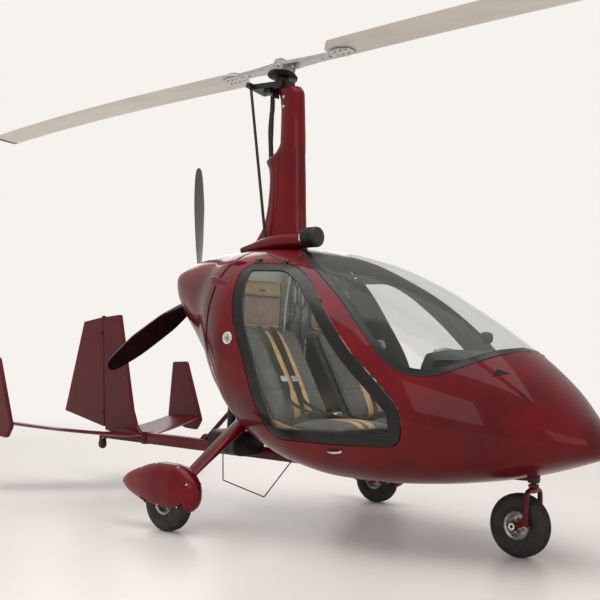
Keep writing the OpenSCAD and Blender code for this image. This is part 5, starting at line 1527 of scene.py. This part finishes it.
class GYRO_OT_cabin(bpy.types.Operator):
    """Seats with stitched cushions, head pads, belts, panel, dials, console, sticks, pedals, floor and bulkhead frame"""

    bl_idname = "gyro.cabin"
    bl_label = "Cabin"

    def execute(self, context):
        s = context.scene.gyro_cabin
        grey, tan, suede, webbed = FINISHES["grey_leather"], FINISHES["tan_leather"], FINISHES["suede"], FINISHES["belt_webbing"]
        steel, black, moulded = FINISHES["polished_steel"], FINISHES["powder_coated_steel"], FINISHES["moulded_abs"]
        half = s.stripe_width / 2
        stripes = [(-0.045 - half, -0.045 + half), (0.045 - half, 0.045 + half)]
        pads, backs, heads, cords = [], [], [], []
        for side in (1, -1):
            flip = [(-b, -a) for a, b in stripes] if side > 0 else stripes
            low = seat_pose(side, False)
            pads.append(cushion(0.446, 0.351, 0.072, flip, [0.06], low))
            cords.append(piping(0.440, 0.345, 0.030, low))
            high = seat_pose(side, True)
            backs.append(cushion(0.446, 0.586, 0.072, flip, [-0.12, 0.20], high))
            cords.append(piping(0.440, 0.580, 0.030, high))
            turn = Matrix(((1, 0, 0), (0, 0, -1), (0, 1, 0))).to_4x4()
            face = Matrix.Translation((side * SEAT_X, -0.1426, 1.2495)) @ turn
            shape, kinds = cushion(0.366, 0.271, 0.052, [], [0.046], face, crown=0.014, pull=0.004)
            verts, faces = shape
            kinds = [1 if sum(verts[i][2] for i in f) / len(f) > 1.2495 + 0.046 else 0 for f in faces]
            heads.append((shape, kinds))
        padded_piece("seat_base_cushions", pads, [grey, tan], ("seat_bottom_cushions",))
        padded_piece("seat_backrest_cushions", backs, [grey, tan], ("seat_back_cushions",))
        padded_piece("head_pads", heads, [suede, tan], ("headrests",))
        piece("seat_piping", cords, grey, "airframe", sharp=60)

        trims, picks = [], []
        for side in (1, -1):
            x = side * SEAT_X
            y = -0.1985
            for dx in (-0.150, 0.150):
                trims.append(webbing([(x + dx, y, 1.380), (x + dx, y - 0.0035, 1.30), (x + dx, y - 0.0035, 1.20), (x + dx, y, 1.120)], (1, 0, 0), 0.008, 0.002))
                picks.append(0)
            trims.append(webbing([(x - 0.155, y - 0.002, 1.293), (x, y - 0.0055, 1.290), (x + 0.155, y - 0.002, 1.293)], (0, 0, 1), 0.010, 0.003))
            trims.append(block((x - 0.018, y - 0.008, 1.318), (x + 0.018, y - 0.003, 1.330)))
            trims.append(webbing([(x - 0.176, y + 0.008, 1.124), (x, y + 0.004, 1.117), (x + 0.176, y + 0.008, 1.124)], (0, 0, 1), 0.012, 0.006))
            picks += [0, 0, 1]
        piece("head_pad_trims", trims, [webbed, tan], "airframe", picks=picks, bevel=0.0008, sharp=50)

        # Four point harness: shoulder straps down the back, lap straps to the middle, adjusters and buckle.
        straps, metal = [], []
        for side in (1, -1):
            pose = seat_pose(side, True)
            base = seat_pose(side, False)
            mid = 0.042 * side
            for across in (-1, 1):
                x0 = mid + across * 0.044
                route = [pose @ Vector((x0 * 1.15, 0.292, 0.060)), pose @ Vector((x0 * 1.12, 0.20, 0.0765)), pose @ Vector((x0 * 1.1, 0.05, 0.0785)),
                         pose @ Vector((x0, -0.10, 0.0785)), pose @ Vector((x0 * 1.25, -0.20, 0.081)), base @ Vector((x0 * 1.1, 0.115, 0.092)), base @ Vector((x0 * 0.3, 0.050, 0.0905))]
                straps.append(webbing(route, (1, 0, 0), 0.044))
                metal.append(moved(block((-0.027, -0.018, 0.0), (0.027, 0.018, 0.007)), pose @ Matrix.Translation((x0 * 1.02, -0.060, 0.0785))))
                lap = [base @ Vector((across * 0.205, 0.150, 0.050)), base @ Vector((across * 0.165, 0.125, 0.078)), base @ Vector((across * 0.09, 0.085, 0.0860)),
                       base @ Vector((across * 0.02, 0.050, 0.0885))]
                straps.append(webbing(lap, (0, 0.8, 0.45) if across else (0, 1, 0), 0.044))
            metal.append(moved(lathe([(0.0, 0.0), (0.031, 0.0), (0.033, 0.004), (0.031, 0.013), (0.024, 0.017), (0.0, 0.018)], (0, 0, 0), "Z", 40, False),
                               base @ Matrix.Translation((0, 0.048, 0.090))))
            metal.append(moved(block((-0.006, -0.022, 0.016), (0.006, 0.022, 0.022)), base @ Matrix.Translation((0, 0.048, 0.090))))
        piece("harness_straps", straps, webbed, "airframe", sharp=60)
        piece("harness_buckles", metal, [steel], "airframe", bevel=0.0015, sharp=40)

        dress(["seat_shells"], "grey_abs", 0.002)
        dress(["cabin_floor"], "loop_carpet")
        dress(["instrument_panel"], "moulded_abs", 0.006)
        dress(["control_sticks"], "moulded_abs")
        dress(["rudder_pedals"], "anodised_aluminium", 0.001)
        dress(["firewall"], "anodised_aluminium")
        dress(["engine_block"], "sand_cast_alloy", 0.006)

        # Console: a moulded tunnel with a lid, a lever quadrant and switches.
        shapes = [plate(rounded([(-1.3297, 0.4053), (-1.3297, 0.5920), (-0.694, 0.5920), (-0.6903, 0.5600), (-0.6903, 0.4053)], 0.012), -0.060, 0.060),
                  plate(rounded([(-1.4247, 0.4053), (-1.4247, 0.6900), (-1.400, 0.6945), (-1.345, 0.680), (-1.3257, 0.640), (-1.3257, 0.4053)], 0.012), -0.060, 0.060)]
        piece("console_tunnel", shapes, moulded, "airframe", ("centre_console",), bevel=0.006, sharp=40, segments=4)
        shapes, picks = [], []
        lid = [(-0.042, -0.98), (0.042, -0.98), (0.042, -0.73), (-0.042, -0.73)]
        shapes.append(plate(rounded(lid, 0.012), 0.592, 0.5945, "Z"))
        picks.append(1)
        for x, y in ((-0.028, -1.10), (0.0, -1.10), (0.028, -1.10)):
            shapes.append(tube([(x, y, 0.585), (x, y + 0.010, 0.625), (x, y + 0.030, 0.655)], 0.0035, 14))
            shapes.append(lathe([(0.0, -0.012), (0.009, -0.010), (0.011, 0.0), (0.009, 0.010), (0.0, 0.012)], (x, y + 0.032, 0.660), "Z", 24, False))
            picks += [2, 0]
        for k in range(5):
            x = -0.040 + 0.020 * k
            shapes.append(lathe([(0.0, 0.590), (0.006, 0.590), (0.006, 0.5955), (0.0, 0.5955)], (x, -1.22, 0), "Z", 20, False))
            shapes.append(tube([(x, -1.22, 0.594), (x, -1.217, 0.607)], 0.0024, 12))
            picks += [2, 2]
        piece("console_controls", shapes, [black, FINISHES["grey_abs"], steel], "airframe", bevel=0.0012, sharp=40, picks=picks)

        # Panel: two rows of round dials facing the seats.
        shapes, picks = [], []

        def on_panel(x, z):
            t = (z - 0.920) / (0.985 - 0.920)
            y = -1.400 - 0.030 * t if z >= 0.920 else -1.400 - 0.045 * (0.920 - z) / 0.220
            return Vector((x, y, z))

        def facing(at, back=Vector((0, 1, 0.12))):
            return Matrix.Translation(at) @ back.to_track_quat("Z", "Y").to_matrix().to_4x4()

        for x, z, r in ((-0.30, 0.86, 0.040), (-0.20, 0.86, 0.040), (-0.10, 0.86, 0.040), (0.02, 0.86, 0.040), (0.12, 0.86, 0.040), (0.30, 0.86, 0.034), (0.22, 0.86, 0.034),
                        (-0.25, 0.77, 0.030), (-0.17, 0.77, 0.030), (0.16, 0.77, 0.030), (0.24, 0.77, 0.030)):
            pose = facing(on_panel(x, z))
            shapes.append(moved(lathe([(r * 0.84, 0.0), (r, 0.0), (r, 0.006), (r * 0.94, 0.009), (r * 0.84, 0.007)], (0, 0, 0), "Z", 48), pose))
            shapes.append(moved(lathe([(0.0, 0.0), (r * 0.86, 0.0), (r * 0.86, 0.003), (0.0, 0.003)], (0, 0, 0), "Z", 40, False), pose))
            needle = [(-0.0016, -r * 0.15), (0.0016, -r * 0.15), (0.0006, r * 0.66), (-0.0006, r * 0.66)]
            turn = Matrix.Rotation(x * 17 + z * 3, 4, "Z")
            shapes.append(moved(plate(needle, 0.0032, 0.0040, "Z"), pose @ turn))
            picks += [0, 1, 2]
            for k in range(12):
                tick = Matrix.Rotation(TURN * k / 12, 4, "Z")
                shapes.append(moved(block((-0.0006, r * 0.68, 0.003), (0.0006, r * 0.80, 0.0036)), pose @ tick))
                picks.append(2)
        piece("panel_dials", shapes, [moulded, FINISHES["instrument_face"], FINISHES["white_enamel"]], "airframe", sharp=40, picks=picks)

        # Dash vents, compass and the steel frame behind the seats.
        shapes, picks = [], []
        for side in (1, -1):
            pose = Matrix.Translation((side * 0.330, -1.462, 1.0005)) @ Matrix.Rotation(math.radians(-18), 4, "X")
            grow = [[pose @ Vector((a * k, b * k, h)) for a, b in oval(0.062, 0.034, 2.4, 44)] for k, h in ((0.80, 0.002), (0.92, 0.010), (1.0, 0.008), (1.03, -0.008))]
            shapes.append(loft(grow, False))
            picks.append(0)
            for k in range(5):
                y = -0.022 + 0.011 * k
                wide = 0.050 * math.sqrt(max(1 - (y / 0.034) ** 2, 0.1))
                shapes.append(moved(block((-wide, y - 0.0018, -0.001), (wide, y + 0.0018, 0.006)), pose))
                picks.append(0)
            shapes.append(([tuple(pose @ Vector((a * 0.86, b * 0.86, -0.002))) for a, b in oval(0.062, 0.034, 2.4, 44)], [tuple(range(44))]))
            picks.append(1)
        piece("dash_vents", shapes, [FINISHES["anodised_aluminium"], FINISHES["hose_rubber"]], "airframe", sharp=50, picks=picks, solid=False)
        ball = [(0.0, -0.032), (0.020, -0.030), (0.031, -0.020), (0.036, -0.004), (0.036, 0.012), (0.030, 0.024), (0.018, 0.031), (0.0, 0.034)]
        shapes = [lathe(ball, (0, -1.500, 1.078), "Z", 48, False), plate(rounded([(-0.030, -1.53), (0.030, -1.53), (0.030, -1.47), (-0.030, -1.47)], 0.01), 1.008, 1.030, "Z"),
                  lathe([(0.0, 1.025), (0.012, 1.025), (0.012, 1.052), (0.0, 1.052)], (0, -1.500, 0), "Z", 24, False)]
        piece("dash_compass", shapes, moulded, "airframe", sharp=50)
        shapes, picks = [], []
        for side in (1, -1):
            for x in (0.095, 0.020):
                shapes.append(tube(smooth_path([(side * x, -0.160, 0.600), (side * x, -0.160, 0.90), (side * x, -0.165, 1.20), (side * x * 0.8, -0.175, 1.44)], 6), 0.011, 18))
                picks.append(0)
        for z in (1.02, 1.20, 1.36):
            shapes.append(tube([(-0.100, -0.161, z), (0.100, -0.161, z)], 0.010, 18))
            picks.append(0)
        shapes.append(block((-0.085, -0.205, 1.045), (-0.010, -0.172, 1.150)))
        shapes.append(block((0.012, -0.200, 1.060), (0.085, -0.172, 1.165)))
        picks += [1, 1]
        for k in range(7):
            x = -0.075 + 0.024 * k
            bend = 0.018 * math.sin(2.3 * k)
            shapes.append(tube(smooth_path([(x, -0.176, 1.120), (x + bend, -0.192, 1.22), (x - bend, -0.186, 1.31), (x + bend * 0.6, -0.172, 1.43)], 6), 0.0052, 12))
            picks.append(2)
        piece("bulkhead_frame", shapes, [FINISHES["anodised_aluminium"], FINISHES["grey_abs"], FINISHES["hose_rubber"]], "airframe", sharp=45, picks=picks, bevel=0.001)

        # Tan trims along the sills.
        panels = []
        for side in (1, -1):
            grid = []
            for k in range(33):
                y = -1.33 + 1.12 * k / 32
                row = []
                for j in range(6):
                    t = j / 5
                    q = -0.35 - 0.62 * t
                    p, away = on_pod(y, q if side > 0 else math.pi - q, -0.026 - 0.004 * math.sin(math.pi * t))
                    row.append(p)
                grid.append(row)
            back = [[p - Vector((side * 0.003, 0, 0)) for p in row] for row in grid]
            rings = [[*row, *reversed(row_back)] for row, row_back in zip(grid, back)]
            panels.append(loft(rings))
        piece("sill_trims", panels, tan, "airframe", sharp=70)
        return {"FINISHED"}


# ---- Stage ----


class GYRO_OT_stage(bpy.types.Operator):
    """Pale floor and wall, soft lights and the camera"""

    bl_idname = "gyro.stage"
    bl_label = "Stage"

    def execute(self, context):
        scene = context.scene
        s = scene.gyro_stage
        scene.view_settings.view_transform = "Standard"
        material = bpy.data.materials.new("painted_floor")
        material.use_nodes = True
        tree = material.node_tree
        tree.nodes.clear()
        place = add(tree, "ShaderNodeTexCoord").outputs["Object"]
        cloud = add(tree, "ShaderNodeTexNoise", {"Scale": 0.8, "Detail": 3.0}, {"Vector": place})
        tones = add(tree, "ShaderNodeValToRGB", links={"Fac": cloud.outputs["Fac"]})
        tones.color_ramp.elements[0].color = linear("#e6dfd9")
        tones.color_ramp.elements[1].color = tuple(s.floor)
        gloss = add(tree, "ShaderNodeMapRange", {"To Min": 0.34, "To Max": 0.40}, {"Value": cloud.outputs["Fac"]})
        shader = add(tree, "ShaderNodeBsdfPrincipled", {"Specular IOR Level": 0.5}, {"Base Color": tones.outputs["Color"], "Roughness": gloss.outputs["Result"]})
        # Far from the object the flat floor fades into the backdrop colour for camera, transmission and glossy rays, as
        # a studio cove does.
        away = add(tree, "ShaderNodeVectorMath", links={0: place}, operation="LENGTH")
        cove = add(tree, "ShaderNodeMapRange", {"From Min": 3.2, "From Max": 8.5}, {"Value": away.outputs["Value"]}, interpolation_type="SMOOTHSTEP")
        path = add(tree, "ShaderNodeLightPath")
        direct = add(tree, "ShaderNodeMath", links={0: path.outputs["Is Camera Ray"], 1: path.outputs["Is Transmission Ray"]}, operation="MAXIMUM")
        seen = add(tree, "ShaderNodeMath", links={0: direct.outputs[0], 1: path.outputs["Is Glossy Ray"]}, operation="MAXIMUM")
        share = add(tree, "ShaderNodeMath", links={0: cove.outputs["Result"], 1: seen.outputs[0]}, operation="MULTIPLY")
        glow = add(tree, "ShaderNodeEmission", {"Color": tuple(s.backdrop), "Strength": 1.0})
        both = add(tree, "ShaderNodeMixShader", links={0: share.outputs[0], 1: shader.outputs[0], 2: glow.outputs[0]})
        add(tree, "ShaderNodeOutputMaterial", links={"Surface": both.outputs[0]})
        mesh = bpy.data.meshes.new("floor")
        reach = 40
        mesh.from_pydata([(-reach, -reach, 0), (reach, -reach, 0), (reach, reach, 0), (-reach, reach, 0)], [], [(0, 1, 2, 3)])
        mesh.materials.append(material)
        floor = bpy.data.objects.new("floor", mesh)
        scene.collection.objects.link(floor)

        world = bpy.data.worlds.new("studio")
        scene.world = world
        world.use_nodes = True
        tree = world.node_tree
        tree.nodes.clear()
        path = add(tree, "ShaderNodeLightPath")
        seen = add(tree, "ShaderNodeMath", links={0: path.outputs["Is Camera Ray"], 1: path.outputs["Is Transmission Ray"]}, operation="MAXIMUM")
        fill = add(tree, "ShaderNodeBackground", {"Color": linear("#efeeec"), "Strength": 0.78})
        wall = add(tree, "ShaderNodeBackground", {"Color": tuple(s.backdrop), "Strength": 1.0})
        both = add(tree, "ShaderNodeMixShader", links={0: seen.outputs[0], 1: fill.outputs[0], 2: wall.outputs[0]})
        add(tree, "ShaderNodeOutputWorld", links={"Surface": both.outputs[0]})

        lamps = (("overhead", (-0.5, -0.8, 6.2), (0, -0.3, 0), 6.5, 6.5, s.key_watts),
                 ("front_left", (-6.5, -3.0, 3.2), (0, -0.6, 0.9), 3.0, 3.0, s.key_watts * 0.16),
                 ("front", (-1.5, -8.5, 3.0), (0, -0.8, 0.9), 4.0, 2.0, s.key_watts * 0.12),
                 ("back", (4.5, 5.5, 4.0), (0, 0, 1.0), 4.0, 3.0, s.key_watts * 0.35))
        for name, at, to, wide, high, watts in lamps:
            light = bpy.data.lights.new(name, "AREA")
            light.shape = "RECTANGLE"
            light.size, light.size_y = wide, high
            light.energy = watts
            lamp = bpy.data.objects.new(name, light)
            lamp.location = at
            lamp.rotation_euler = (Vector(to) - Vector(at)).to_track_quat("-Z", "Y").to_euler()
            scene.collection.objects.link(lamp)

        camera = bpy.data.objects.new("camera", bpy.data.cameras.new("camera"))
        scene.collection.objects.link(camera)
        scene.camera = camera
        camera.data.sensor_width = 36
        camera.data.lens = s.lens
        camera.data.clip_end = 200
        bearing, pitch, roll = 0.7396, 0.0538, 0.0334
        ahead = Vector((math.cos(bearing) * math.cos(pitch), math.sin(bearing) * math.cos(pitch), math.sin(pitch)))
        right = ahead.cross(Vector((0, 0, 1))).normalized()
        up = right.cross(ahead)
        tilted = right * math.cos(roll) + up * math.sin(roll)
        top = up * math.cos(roll) - right * math.sin(roll)
        turn = Matrix((tilted, top, -ahead)).transposed()
        camera.matrix_world = Matrix.Translation((-4.4899, -4.2927, 0.9626)) @ turn.to_4x4()
        return {"FINISHED"}


# ---- Panel and registration ----

STEPS = (GYRO_OT_finishes, GYRO_OT_body, GYRO_OT_glazing, GYRO_OT_mast, GYRO_OT_rotor, GYRO_OT_propeller, GYRO_OT_tail, GYRO_OT_gear,
         GYRO_OT_fittings, GYRO_OT_cabin, GYRO_OT_stage)
GROUPS = (("gyro_body", GyroBody), ("gyro_rotor", GyroRotor), ("gyro_gear", GyroGear), ("gyro_cabin", GyroCabin), ("gyro_stage", GyroStage))


class GYRO_PT_panel(bpy.types.Panel):
    """Sizes, colours and build steps of the gyrocopter"""

    bl_idname = "GYRO_PT_panel"
    bl_label = "Gyrocopter"
    bl_space_type = "VIEW_3D"
    bl_region_type = "UI"
    bl_category = "Gyrocopter"

    def draw(self, context):
        layout = self.layout
        for name, group in GROUPS:
            box = layout.box()
            for key in group.__annotations__:
                box.prop(getattr(context.scene, name), key)
        for step in STEPS:
            layout.operator(step.bl_idname)


def register():
    for name, group in GROUPS:
        bpy.utils.register_class(group)
        setattr(bpy.types.Scene, name, PointerProperty(type=group))
    for step in STEPS:
        bpy.utils.register_class(step)
    bpy.utils.register_class(GYRO_PT_panel)


def unregister():
    bpy.utils.unregister_class(GYRO_PT_panel)
    for step in reversed(STEPS):
        bpy.utils.unregister_class(step)
    for name, group in reversed(GROUPS):
        delattr(bpy.types.Scene, name)
        bpy.utils.unregister_class(group)


def main():
    register()
    for step in STEPS:
        family, action = step.bl_idname.split(".")
        getattr(getattr(bpy.ops, family), action)()


if __name__ == "__main__":
    main()
